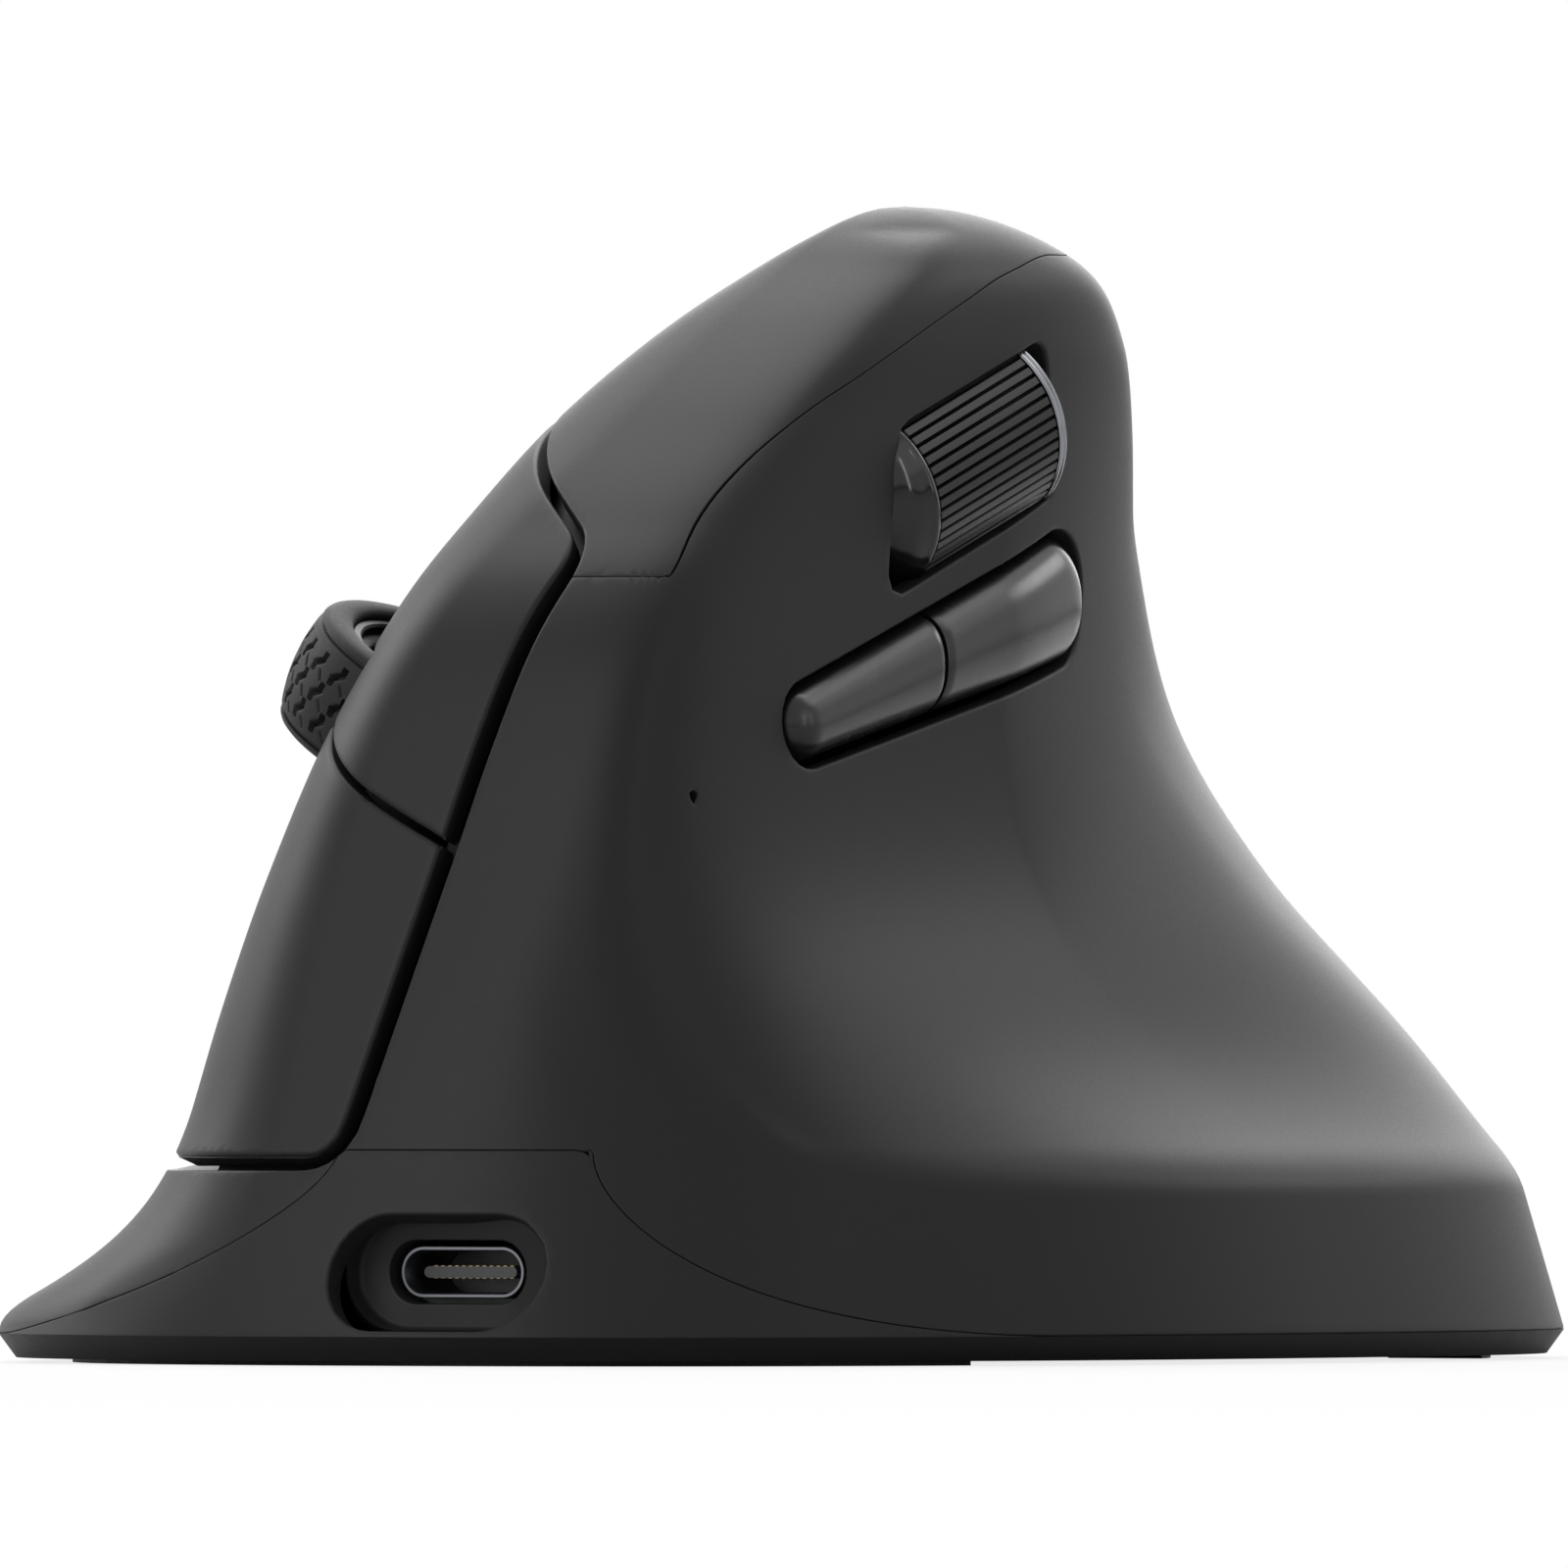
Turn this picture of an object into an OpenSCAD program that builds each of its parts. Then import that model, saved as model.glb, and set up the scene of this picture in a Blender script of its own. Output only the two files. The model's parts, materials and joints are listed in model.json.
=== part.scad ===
// Vertical ergonomic mouse for the right hand: an upright lofted shell on a flared base.
// The finger side has two main buttons and a wheel, the thumb side two buttons and a roller.
// Millimetres. +X is the thumb side, -Y the front with the charging port, z = 0 the desk.

/* [Body] */
// Overall length of the base, front to back
body_length = 112; // [106:1:120]
// Overall width of the base, finger rim to thumb rim
body_width = 83; // [79:1:88]
// Height of the crown over the desk
body_height = 71.3; // [68:0.1:76]
// Wall of the moulded covers
wall = 1.8; // [1.5:0.1:2.2]
// Hairline seam between fixed covers
seam = 0.12; // [0.08:0.02:0.2]
// Thickness of the bottom plate
plate = 1.5; // [1.2:0.1:2]
// Thickness of the glide feet
foot = 0.5; // [0.4:0.05:0.7]
// Height of the feet below the plate
foot_proud = 0.3; // [0.2:0.05:0.4]
// Width of the glide feet
foot_width = 6; // [4:0.5:8]

/* [Main buttons] */
// Gap between the main buttons and the covers
button_gap = 1.2; // [1.1:0.05:1.5]
// Gap below the main buttons
low_gap = 0.8; // [0.7:0.05:1.1]
// Gap between the two main buttons
split_gap = 0.5; // [0.4:0.05:0.9]
// Gap above the main buttons
top_gap = 0.5; // [0.4:0.05:1]
// Place of the hinge pin behind the middle, on a body 112 long
hinge_place = 16; // [13:0.5:18]
// Radius of the hinge pin
hinge_pin_r = 1.25; // [1:0.05:1.5]
// Radius of the hinge barrels
hinge_barrel_r = 3; // [2.6:0.1:3.2]

/* [Scroll wheel] */
// Radius over the tyre
wheel_r = 10; // [9:0.25:10.5]
// Width of the tyre
wheel_width = 7.4; // [6.4:0.2:8]
// How far the tyre stands out of the finger side
wheel_proud = 4.8; // [4:0.2:5.4]
// Place of the wheel in front of the middle, on a body 112 long
wheel_place = 27.5; // [26:0.5:29]
// Drop below the crown of the place where the wheel comes through the finger side
wheel_drop = 29.4; // [28.5:0.1:30.5]
// Radius of the wheel axle
axle_r = 1.25; // [1:0.05:1.4]
// Press travel of the wheel
wheel_press = 0.5; // [0.3:0.05:0.6]
// Tread blocks around the tyre
tread_count = 18; // [12:1:22]

/* [Thumb side] */
// Radius of the thumb roller
roller_r = 6.5; // [6:0.1:7]
// Length of the thumb roller
roller_length = 18.8; // [17.6:0.1:19.2]
// How far the roller stands out of the wall
roller_proud = 1.6; // [1.2:0.1:2]
// Place of the roller in front of the middle, on a body 112 long
roller_place = 6.3; // [5.5:0.1:7]
// Drop of the roller below the crown
roller_drop = 16.3; // [15.3:0.1:17.3]
// Ribs around the roller
roller_ribs = 56; // [40:2:60]
// Rise of the roller toward the back, in degrees
roller_tilt = 18.2; // [16:0.2:19]
// Rise of the thumb buttons toward the back, in degrees
side_tilt = 14; // [13:0.2:16]
// Radius of the front end of the thumb buttons
side_front_r = 2.3; // [2.1:0.1:2.6]
// Radius of the back end of the thumb buttons
side_back_r = 3.9; // [3.6:0.1:4.1]
// Drop of the thumb buttons below the roller
side_drop = 10.6; // [10.4:0.1:11.4]
// Press travel of the thumb buttons
side_press = 0.5; // [0.3:0.05:0.7]
// Gap round the roller and the thumb buttons
slot_gap = 0.4; // [0.3:0.05:0.5]

/* [Port] */
// Width of the recess for the plug
port_width = 14; // [13:0.2:15]
// Height of the recess for the plug
port_height = 7.1; // [6.6:0.1:7.4]
// Place of the port from the middle of the body
port_x = 8.3; // [7:0.1:9]
// Height of the port
port_z = 5.75; // [5.6:0.05:6]
// Depth of the recess at its deep end
port_depth = 3.7; // [3:0.1:4.5]
// Width of the metal shell in the port
usb_width = 8.94; // [8.6:0.02:9.2]
// Height of the metal shell in the port
usb_height = 3.2; // [3:0.02:3.3]

/* [Inside] */
// Thickness of the circuit boards
board = 1.2; // [1:0.1:1.6]
// Thickness of the inner frame
frame_t = 2; // [1.6:0.1:2.4]
// Length of the battery
battery_length = 26; // [22:1:28]
// Width of the battery
battery_width = 36; // [30:1:38]
// Thickness of the battery
battery_height = 6.5; // [5.5:0.1:7.5]
// Travel of the power slider
slider_travel = 3; // [2:0.5:4]
// Running clearance of pins in their bores
run_fit = 0.05; // [0.03:0.01:0.08]

/* [Hidden] */

$fn = 48;
far = 200;
eps = 0.01;

// The loft is drawn at these sizes and stretched to the sizes above.
draw_length = 112;
draw_width = 83;
draw_height = 71.3;
draw_rim = 1.8;
rim_z = foot_proud + plate;
kx = body_width / draw_width;
ky = body_length / draw_length;
kz = (body_height - rim_z) / (draw_height - draw_rim);

// Places of the hinge, the wheel and the roller
hinge_y = hinge_place * ky;
wheel_y = -wheel_place * ky;
wheel_z = body_height - wheel_drop;
roller_y = -roller_place * ky;
roller_z = body_height - roller_drop;

// Upper body by height: finger side, thumb side, front, back, and the middle of each level
finger_line = [[1.8, -30], [8, -29], [14, -27], [22, -24], [30, -21], [37, -18], [45, -14],
    [52, -11], [58, -8], [63, -3.8], [67.5, 1.7], [70, 5.6], [71.3, 8.5]];
thumb_line = [[1.8, 20.5], [12, 19.8], [20, 19], [30, 18.4], [40, 17.8], [50, 17.4],
    [58, 17.3], [63, 17.2], [67, 16.2], [69.5, 13.8], [71.3, 8.5]];
front_line = [[1.8, -56], [6, -54.6], [14.5, -51.5], [30, -46.5], [38, -44], [44, -41.5],
    [48, -38.5], [52, -33.8], [58, -25.8], [64, -16.8], [68, -9.8], [71.3, 0.5]];
back_line = [[1.8, 52], [12, 51], [20, 48.5], [30, 44.5], [40, 39], [50, 33], [58, 28],
    [63, 24], [67.5, 18], [70, 11], [71.3, 0.5]];
middle_x = [[1.8, -4], [12, -4], [30, -3], [50, 2], [60, 5.5], [71.3, 8.5]];
middle_y = [[1.8, -4], [30, -4], [50, -2], [71.3, 0.5]];

// Roundness of the level's quarters, 2 being an ellipse, and the tight front thumb corner
front_finger_power = [[1.8, 2.3], [8, 1.93], [14, 1.9], [22, 1.95], [45, 1.98], [52, 2.06],
    [58, 2.2], [71.3, 2.2]];
back_thumb_power = [[1.8, 2.2], [12, 2.1], [20, 2.1], [30, 1.65], [40, 1.45], [50, 1.62],
    [58, 1.8], [63, 2.05], [67.5, 2.35], [71.3, 2.2]];
back_finger_power = 2.3;
front_thumb_power = 2.2;
front_thumb_corner = [[1.8, 14], [14, 10], [24, 6], [50, 5], [60, 6], [71.3, 30]];
full_corner = 99;

// Flared base: rim roundness, lean of its wall, and by angle the crease height, the fall and
// the height of the flare above it, and the share of the upper body's front in it
rim_power = 2.35;
rim_lean = 0.28;
crease_line = [[-180, 3.2], [-135, 3.2], [-120, 3.9], [-110, 5], [-105, 6.1], [-100, 8],
    [-95, 11], [-90, 14.5], [-80, 21], [-72, 23], [-65, 20], [-58, 15.6], [-50, 13],
    [-43, 12], [-30, 11.8], [0, 11.8], [90, 11.5], [120, 9], [150, 4.5], [180, 3.2]];
flare_power = [[-180, 2.5], [-90, 2.5], [-60, 3], [-30, 3], [0, 2.8], [40, 1.8], [90, 1.3],
    [130, 1.8], [180, 2.5]];
flare_height = [[-180, 13], [-90, 13], [-75, 14], [-60, 24], [-30, 30], [0, 32], [40, 38],
    [90, 44], [130, 30], [180, 13]];
front_share = [[-180, 0], [-112, 0], [-92, 1], [-73, 1], [-48, 0], [180, 0]];

// Grid of the loft
columns = 72;
rim_rows = 3;
body_rows = 20;
pull_soft = 0.35;

function mix(a, b, t) = a + (b - a) * t;
function dome(z) = 1 - sqrt(max(0, 1 - z / draw_height));
function domed(t) = [for (p = t) [dome(p[0]), p[1]]];
function cell(t, x, i = 0) = i >= len(t) - 2 || x < t[i + 1][0] ? i : cell(t, x, i + 1);
function slope(t, i) =
    let(a = max(i - 1, 0), b = min(i + 1, len(t) - 1))
    (t[b][1] - t[a][1]) / (t[b][0] - t[a][0]);
// Slope that never overshoots, for the tables by angle
function calm_slope(t, i) =
    i == 0 || i == len(t) - 1 ? 0 :
    let(l = (t[i][1] - t[i - 1][1]) / (t[i][0] - t[i - 1][0]),
        r = (t[i + 1][1] - t[i][1]) / (t[i + 1][0] - t[i][0]))
    l * r <= 0 ? 0 : 2 * l * r / (l + r);
function hermite(p, q, mp, mq, x) =
    let(h = q[0] - p[0], s = (x - p[0]) / h, s2 = s * s, s3 = s2 * s)
    (2 * s3 - 3 * s2 + 1) * p[1] + (s3 - 2 * s2 + s) * h * mp
    + (3 * s2 - 2 * s3) * q[1] + (s3 - s2) * h * mq;
function spline(t, x) =
    let(i = cell(t, x)) hermite(t[i], t[i + 1], slope(t, i), slope(t, i + 1), x);
function by_angle(t, d) =
    let(i = cell(t, d)) hermite(t[i], t[i + 1], calm_slope(t, i), calm_slope(t, i + 1), d);

finger_dome = domed(finger_line);
thumb_dome = domed(thumb_line);
front_dome = domed(front_line);
back_dome = domed(back_line);
middle_x_dome = domed(middle_x);
middle_y_dome = domed(middle_y);
front_finger_dome = domed(front_finger_power);
back_thumb_dome = domed(back_thumb_power);
corner_dome = domed(front_thumb_corner);

// One quarter of a level: a corner of size cor and roundness n, drawn out to ext from c
function pull(t) = t * sqrt((1 + pull_soft * pull_soft) / (t * t + pull_soft * pull_soft));
function quarter(d, c, ext, cor, n) =
    let(u = cos(d), v = sin(d), hx = abs(ext[0] - c[0]), hy = abs(ext[1] - c[1]),
        a = min(cor, hx), b = min(cor, hy))
    [c[0] + sign(u) * a * pow(abs(u), 2 / n) + (hx - a) * pull(u),
     c[1] + sign(v) * b * pow(abs(v), 2 / n) + (hy - b) * pull(v)];

function upper(d, z) =
    let(q = dome(z), thumb = cos(d) >= 0, back = sin(d) >= 0)
    quarter(d, [spline(middle_x_dome, q), spline(middle_y_dome, q)],
        [spline(thumb ? thumb_dome : finger_dome, q), spline(back ? back_dome : front_dome, q)],
        thumb && !back ? spline(corner_dome, q) : full_corner,
        thumb ? (back ? spline(back_thumb_dome, q) : front_thumb_power)
              : (back ? back_finger_power : spline(front_finger_dome, q)));
function rim(d, z) =
    let(k = rim_lean * (z - draw_rim), x = draw_width / 2 - k)
    quarter(d, [0, 0], [cos(d) >= 0 ? x : -x,
        sin(d) >= 0 ? draw_length / 2 - k : spline(front_dome, dome(z))], full_corner, rim_power);
function lower(d, z, e) =
    let(t = (z - draw_rim) / (e - draw_rim)) mix(rim(d, z), upper(d, z), by_angle(front_share, d) * t);
function flared(d, z, e) =
    z <= e ? lower(d, z, e) :
    let(t = min(1, (z - e) / by_angle(flare_height, d)))
    upper(d, z) + (lower(d, e, e) - upper(d, e)) * pow(1 - t, by_angle(flare_power, d));

function draw_z(z) = draw_rim + (z - rim_z) / kz;
function real(p, z) = [p[0] * kx, p[1] * ky, rim_z + (z - draw_rim) * kz];
// Point of the outside at an angle and a real height
function skin(d, z) =
    let(zd = draw_z(z), w = d > 180 ? d - 360 : d) real(flared(w, zd, by_angle(crease_line, w)), zd);

// Real place on the skin: x on the thumb or finger side at y and z, y on the front at x and z
function seek(lo, hi, z, axis, goal, n = 26) =
    let(m = (lo + hi) / 2) n == 0 ? skin(m, z) :
    (skin(lo, z)[axis] - goal) * (skin(m, z)[axis] - goal) <= 0 ? seek(lo, m, z, axis, goal, n - 1)
        : seek(m, hi, z, axis, goal, n - 1);
function thumb_x(y, z) = seek(-88, 88, z, 1, y)[0];
function finger_x(y, z) = seek(92, 268, z, 1, y)[0];
function front_y(x, z) = seek(-179, -1, z, 0, x)[1];

// Rows of the loft: up the rim to the crease, then to the crown, closer together near the top
function row_z(j, e) =
    j <= rim_rows ? mix(draw_rim, e, j / rim_rows) :
    mix(e, draw_height, 1 - pow(1 - (j - rim_rows) / body_rows, 1.4));
function loft_point(d, j) =
    let(e = by_angle(crease_line, d), z = row_z(j, e)) real(flared(d, z, e), z);
crown = [middle_x[5][1] * kx, middle_y[3][1] * ky, body_height];

// Outside of the body, or with a wall the hollow in it, on every step-th line of the loft
module loft(step = 1, thick = 0) {
    n = columns / step;
    rows = floor((rim_rows + body_rows - 1) / step);
    ring = [for (j = [0 : rows]) [for (i = [0 : n - 1])
        let(p = loft_point(-180 + i * step * 360 / columns, j * step), q = [p[0], p[1]],
            h = dome(draw_z(p[2])), m = [spline(middle_x_dome, h) * kx, spline(middle_y_dome, h) * ky],
            f = max(0, 1 - thick / norm(q - m)))
        [m[0] + (q[0] - m[0]) * f, m[1] + (q[1] - m[1]) * f, p[2] - thick]]];
    points = concat([for (r = ring) each r], [crown - [0, 0, thick]]);
    top = len(points) - 1;
    polyhedron(points, concat(
        [[for (i = [0 : n - 1]) i]],
        [for (j = [0 : rows - 1]) for (i = [0 : n - 1])
            each [[j * n + i, (j + 1) * n + i, (j + 1) * n + (i + 1) % n],
                  [j * n + i, (j + 1) * n + (i + 1) % n, j * n + (i + 1) % n]]],
        [for (i = [0 : n - 1]) [rows * n + i, top, rows * n + (i + 1) % n]]), convexity = 6);
}

module shell() {
    difference() {
        loft();
        loft(2, wall);
    }
}

// Keeps what is built inside as one moulded mesh
module moulded() resize([0, 0, 0]) children();

// Prisms drawn along X, Y and Z from outlines in the other two axes
module along_x(x0, x1) translate([x0, 0, 0]) rotate([90, 0, 90]) linear_extrude(x1 - x0) children();
module along_y(y0, y1) translate([0, y1, 0]) rotate([90, 0, 0]) linear_extrude(y1 - y0) children();
module grown(d) {
    if (d > 0) offset(delta = d) children();
    else children();
}
module rounded(r) offset(r = r) offset(delta = -r) children();
module slot(w, h) {
    hull() for (s = [-1, 1]) translate([s * (w - h) / 2, 0]) circle(d = h);
}

// Outlines of the covers. The apron is the part of the base that comes up round the port.
apron_top = 13.2 * kz;
apron_left = 0.4 * kx;
apron_right = 16.5 * kx;
apron_reach_left = 30 * kx;
apron_reach_right = 21 * kx;
apron_power = 1.8;
strip_top = 48.3 * kz;
gap_foot_x = -0.1 * kx;
gap_head_x = 7.5 * kx;
gap_head_z = 49.6 * kz;

function sweep(r, h, n) = [for (a = [0 : 10 : 90]) [r * pow(cos(a), 2 / n), h * pow(sin(a), 2 / n)]];
module apron_outline() {
    h = apron_top - rim_z;
    left = sweep(apron_reach_left, h, apron_power);
    right = sweep(apron_reach_right, h, apron_power);
    left_end = apron_left - apron_reach_left;
    right_end = apron_right + apron_reach_right;
    polygon(concat([for (p = left) [left_end + p[0], apron_top - p[1]]],
        [[left_end - 20, rim_z - 10], [right_end + 20, rim_z - 10]],
        [for (i = [9 : -1 : 0]) [right_end - right[i][0], apron_top - right[i][1]]]));
}
module apron_zone(d = 0) along_y(-far, -15) grown(d) apron_outline();

button_low = 13.2 * kz;
button_low_back = 16 * kz;
button_top = 66 * kz;
button_ridge_z = 63.5 * kz;
gap_lean = (gap_head_x - gap_foot_x) / (gap_head_z - button_low);
module button_front_outline(drop, lift) rounded(2.5) polygon([[gap_foot_x, button_low - drop],
    [gap_head_x + lift * gap_lean, gap_head_z + lift], [-3 * kx, 56.4 * kz + lift],
    [-14 * kx, button_ridge_z + lift], [-far, button_ridge_z + lift], [-far, button_low - drop]]);
module button_side_outline(drop) rounded(3) polygon([[-far, button_low - drop],
    [-36 * ky, button_low - drop], [hinge_y + 12, button_low_back - drop], [hinge_y + 8, button_top],
    [-far, button_top]]);
split_line = [[-far, 60], [-18, 45.3], [-11.8, 41.9], [-6.8, 37.9], [-3, 35.5], [-0.2, 34], [2.5, 32.7],
    [6, 31.2], [far, 0]];
module over_split(s) polygon(concat([for (p = split_line) [p[0] * kx, p[1] * kz + s]],
    [[far, far], [-far, far]]));
// Room of the main buttons, or with a gap the room that the covers leave round them
module button_zone(d = 0) {
    drop = d > 0 ? 0 : button_gap - low_gap;
    lift = d > 0 ? 0 : button_gap - top_gap;
    intersection() {
        along_y(-far, far) grown(d) button_front_outline(drop, lift);
        along_x(-far, far) grown(d) button_side_outline(drop);
    }
}

// Seam of the thumb cover: in plan down the back, in side view along the ridge
plan_seam = [[12, -far], [12, 13.8], [8, 22], [4, 40], [2, 64], [2, far], [far, far], [far, -far]];
ridge_seam = [[-far, 48.3], [-37, 48.3], [-34.2, 50.9], [-30.9, 53.6], [-26.5, 56.6], [-22.5, 58.8],
    [-17.8, 60.8], [-12, 63.1], [-5.8, 65.3], [0.2, 67.1], [8.1, 68.3], [13.8, 68.3], [13.8, far],
    [far, far], [far, -far], [-far, -far]];
module thumb_zone(d = 0) {
    intersection() {
        linear_extrude(far) grown(d) polygon([for (p = plan_seam) [p[0] * kx, p[1] * ky]]);
        along_x(0, far) grown(d) polygon([for (p = ridge_seam) [p[0] * ky, p[1] * kz]]);
    }
    along_y(-far, -25 * ky) grown(d) translate([gap_foot_x + button_gap / 2, 0]) square([far, strip_top]);
}
skirt_back = 30 * ky;
skirt_top = button_low_back - 0.6;
module skirt_zone(d = 0) along_x(-far, 2) grown(d) polygon([[-far, -far], [skirt_back, -far],
    [skirt_back, skirt_top], [hinge_y + 12, skirt_top], [-36 * ky, button_low], [-far, button_low]]);

// Finger side frame: the origin in the wheel, -X out of the skin, +Z along the axle
wheel_skin_x = finger_x(wheel_y, wheel_z);
finger_tilt = atan((finger_x(wheel_y, wheel_z + 6) - finger_x(wheel_y, wheel_z - 6)) / 12);
wheel_at = [wheel_skin_x + (wheel_r - wheel_proud) * cos(finger_tilt), wheel_y,
    wheel_z - (wheel_r - wheel_proud) * sin(finger_tilt)];
module finger_side() translate(wheel_at) rotate([0, finger_tilt, 0]) children();

// Thumb side frames with the origin in the roller: +Y along its axle, and along the thumb buttons
roller_x = thumb_x(roller_y, roller_z) - roller_r + roller_proud;
module roller_side() translate([0, roller_y, roller_z]) rotate([roller_tilt, 0, 0]) children();
module key_side() translate([0, roller_y, roller_z]) rotate([side_tilt, 0, 0]) children();
module on_thumb(y, z) key_side() translate([0, y, z]) children();
function thumb_real(y, z) = [roller_y + y * cos(side_tilt) - z * sin(side_tilt),
    roller_z + y * sin(side_tilt) + z * cos(side_tilt)];
function thumb_wall(y, z) = let(p = thumb_real(y, z)) thumb_x(p[0], p[1]);

// Inner frame between the two sides
bracket_t = 1.8;
bracket_gap = 0.8;
frame_face = roller_x - roller_r - bracket_gap - bracket_t;
frame_back = frame_face - frame_t;
frame_x = (frame_face + frame_back) / 2;

// Thumb buttons and the things behind them, in the frame of the buttons
side_front_y = -22.6;
side_back_y = 9.6;
side_split_y = -7.3;
side_crown = 1.1;
side_sunk = 1.4;
side_board_x = frame_face + 3;
side_board_half = 4.3;
side_board_end = 1.8;
led_y = -36.1 * ky;
led_z = -side_drop - 1.25;
cap_back_x = 13.4 * kx;
side_flange = 1;
side_lip = 0.8;
side_switch_h = 3;

// Room behind the main buttons for their press
press_room = 1.2;

// Main switches on the finger board, in the finger side frame
board_in = 1.5;
switch_size = [5, 12.8, 5.8];
switch_y = 12;
switch_up = 9.4;
plunger = 0.7;
plunger_length = 1.9;
plunger_width = 2;
plunger_gap = 0.1;
cheek_t = 1.8;
cheek_at = wheel_width / 2 + 0.7;
hinge_in = -1.5;
hinge_dy = hinge_y - wheel_y;
ear_half = 3;
barrel_gap = 0.4;
barrel_length = 7.5;

// Boards and base
board_top = port_z - usb_height / 2;
board_z = board_top - board;
board_front = front_y(port_x, port_z) + port_depth + 2;
board_back = 0;
board_half = 23 * kx;
board_mid = 1;
usb_length = 7.4;
usb_lip = 0.6;
battery_at = [3, 9];
battery_rib = 1.2;
battery_gap = 0.3;
leg_gap = 2;
leg = 5;
sensor_at = [0, -14];
slider_at = [board_mid - board_half + 10, -32];
pair_at = [slider_at[0], -20];
screw_r = 1.2;
screw_head_r = 2.2;
screw_length = 7;
post_r = 2.8;
post_gap = 0.3;
leg_front = battery_at[1] - leg_gap - leg;
leg_back = battery_at[1] + battery_length + leg_gap;
// Screws of the covers, clear of the main board and the battery, then those of the frame's legs
case_screw_at = [[board_mid + board_half + post_gap + post_r, -12 * ky],
    [battery_at[0] + battery_width / 2 + battery_gap + battery_rib + post_gap + post_r, 24 * ky],
    [-28 * kx, -6 * ky], [-20 * kx, 40 * ky], [frame_x, leg_front + leg / 2], [frame_x, leg_back + leg / 2]];
board_screw_at = [for (y = [board_front + 14, board_back - 4]) for (s = [-1, 1])
    [board_mid + s * (board_half - 4), y]];

// Screw post of a cover, up to its inside
module cover_post(i, $fn = 24) {
    intersection() {
        translate([case_screw_at[i][0], case_screw_at[i][1], rim_z]) cylinder(r = post_r, h = 30);
        loft();
    }
}
module cover_holes($fn = 24) {
    for (p = case_screw_at) translate([p[0], p[1], 0]) cylinder(r = screw_r + 0.05, h = screw_length + 0.6);
}

// Oval of the port at a depth, drawn along Y
module port_oval(w, h, y0, y1) translate([port_x, 0, port_z]) along_y(y0, y1) slot(w, h);
port_floor = front_y(port_x - port_width / 2, port_z) + port_depth;
port_wall = 1.2;
port_floor_t = 1.4;

module base_outline(inset = 0) {
    k = [1 - 2 * inset / body_width, 1 - 2 * inset / body_length];
    polygon([for (i = [0 : columns - 1]) let(p = skin(-180 + i * 360 / columns, rim_z))
        [p[0] * k[0], p[1] * k[1]]]);
}
chamfer = 1.05;
foot_inset = 4.4;
module foot_outline(s, d = 0) {
    intersection() {
        difference() {
            base_outline(foot_inset - d);
            base_outline(foot_inset + foot_width + d);
        }
        translate([-far, s > 0 ? 30 * ky - d : -far]) square([2 * far, far - 30 * ky + d]);
    }
}

slider_slot = [4.4, 5 + slider_travel];
module plate_holes($fn = 24) {
    translate([sensor_at[0], sensor_at[1], 0]) rounded_plate(11, 8, rim_z + eps, 2);
    translate([slider_at[0], slider_at[1], 0])
        rounded_plate(slider_slot[0], slider_slot[1] + 0.6, rim_z + eps, 1);
    translate([pair_at[0], pair_at[1], 0]) cylinder(r = 2.2, h = rim_z + eps);
    for (p = case_screw_at) translate([p[0], p[1], 0]) {
        cylinder(r = screw_r + 0.15, h = rim_z + eps);
        cylinder(r = screw_head_r + 0.15, h = foot_proud + plate * 0.6);
    }
    for (s = [-1, 1]) linear_extrude(foot + 0.05) foot_outline(s, 0.15);
}
module rounded_plate(w, l, h, r) {
    linear_extrude(h) rounded(r) translate([-w / 2, -l / 2]) square([w, l]);
}

// Bottom plate with its chamfered edge, the apron and the walls of the port
module bottom_case() color("#1b1b1c") {
    moulded() difference() {
        union() {
            translate([0, 0, foot_proud]) linear_extrude(plate, slices = 1,
                scale = [body_width / (body_width - 2 * chamfer), body_length / (body_length - 2 * chamfer)])
                base_outline(chamfer);
            intersection() {
                shell();
                apron_zone();
            }
            intersection() {
                loft();
                apron_zone();
                port_oval(port_width + 2 * port_wall, port_height + 2 * port_wall, -far,
                    port_floor + port_floor_t);
            }
        }
        port_oval(port_width, port_height, -far, port_floor);
        port_oval(usb_width + 0.9, usb_height + 0.7, -far, far);
        plate_holes();
    }
    for (p = board_screw_at) translate([p[0], p[1], rim_z]) difference() {
        cylinder(r = 2.2, h = board_z - rim_z);
        cylinder(r = 0.85, h = far);
    }
    battery_ribs();
}
module battery_ribs() {
    x = battery_width / 2 + battery_gap + battery_rib / 2;
    for (s = [-1, 1]) translate([battery_at[0] + s * x - battery_rib / 2, battery_at[1] + 3, rim_z])
        cube([battery_rib, battery_length - 6, 4]);
}

module finger_skirt() color("#232325") moulded() difference() {
    union() {
        intersection() {
            shell();
            skirt_zone();
        }
        cover_post(2);
    }
    apron_zone(seam);
    button_zone(button_gap);
    thumb_zone(seam);
    cover_holes();
}

module thumb_cover() color("#29292b") moulded() difference() {
    union() {
        intersection() {
            shell();
            thumb_zone();
        }
        cover_post(0);
        cover_post(1);
        on_thumb(led_y + 5, led_z) along_x(side_board_x + board,
            thumb_wall(led_y + 5, led_z) - wall / 2) circle(r = 1.6, $fn = 20);
    }
    apron_zone(seam);
    button_zone(button_gap);
    cover_holes();
    roller_side() along_x(cap_back_x + 1, far) roller_opening();
    side_room();
    roller_room(slot_gap);
    on_thumb(led_y, led_z) along_x(0, far) circle(r = 0.75, $fn = 20);
}
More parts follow.
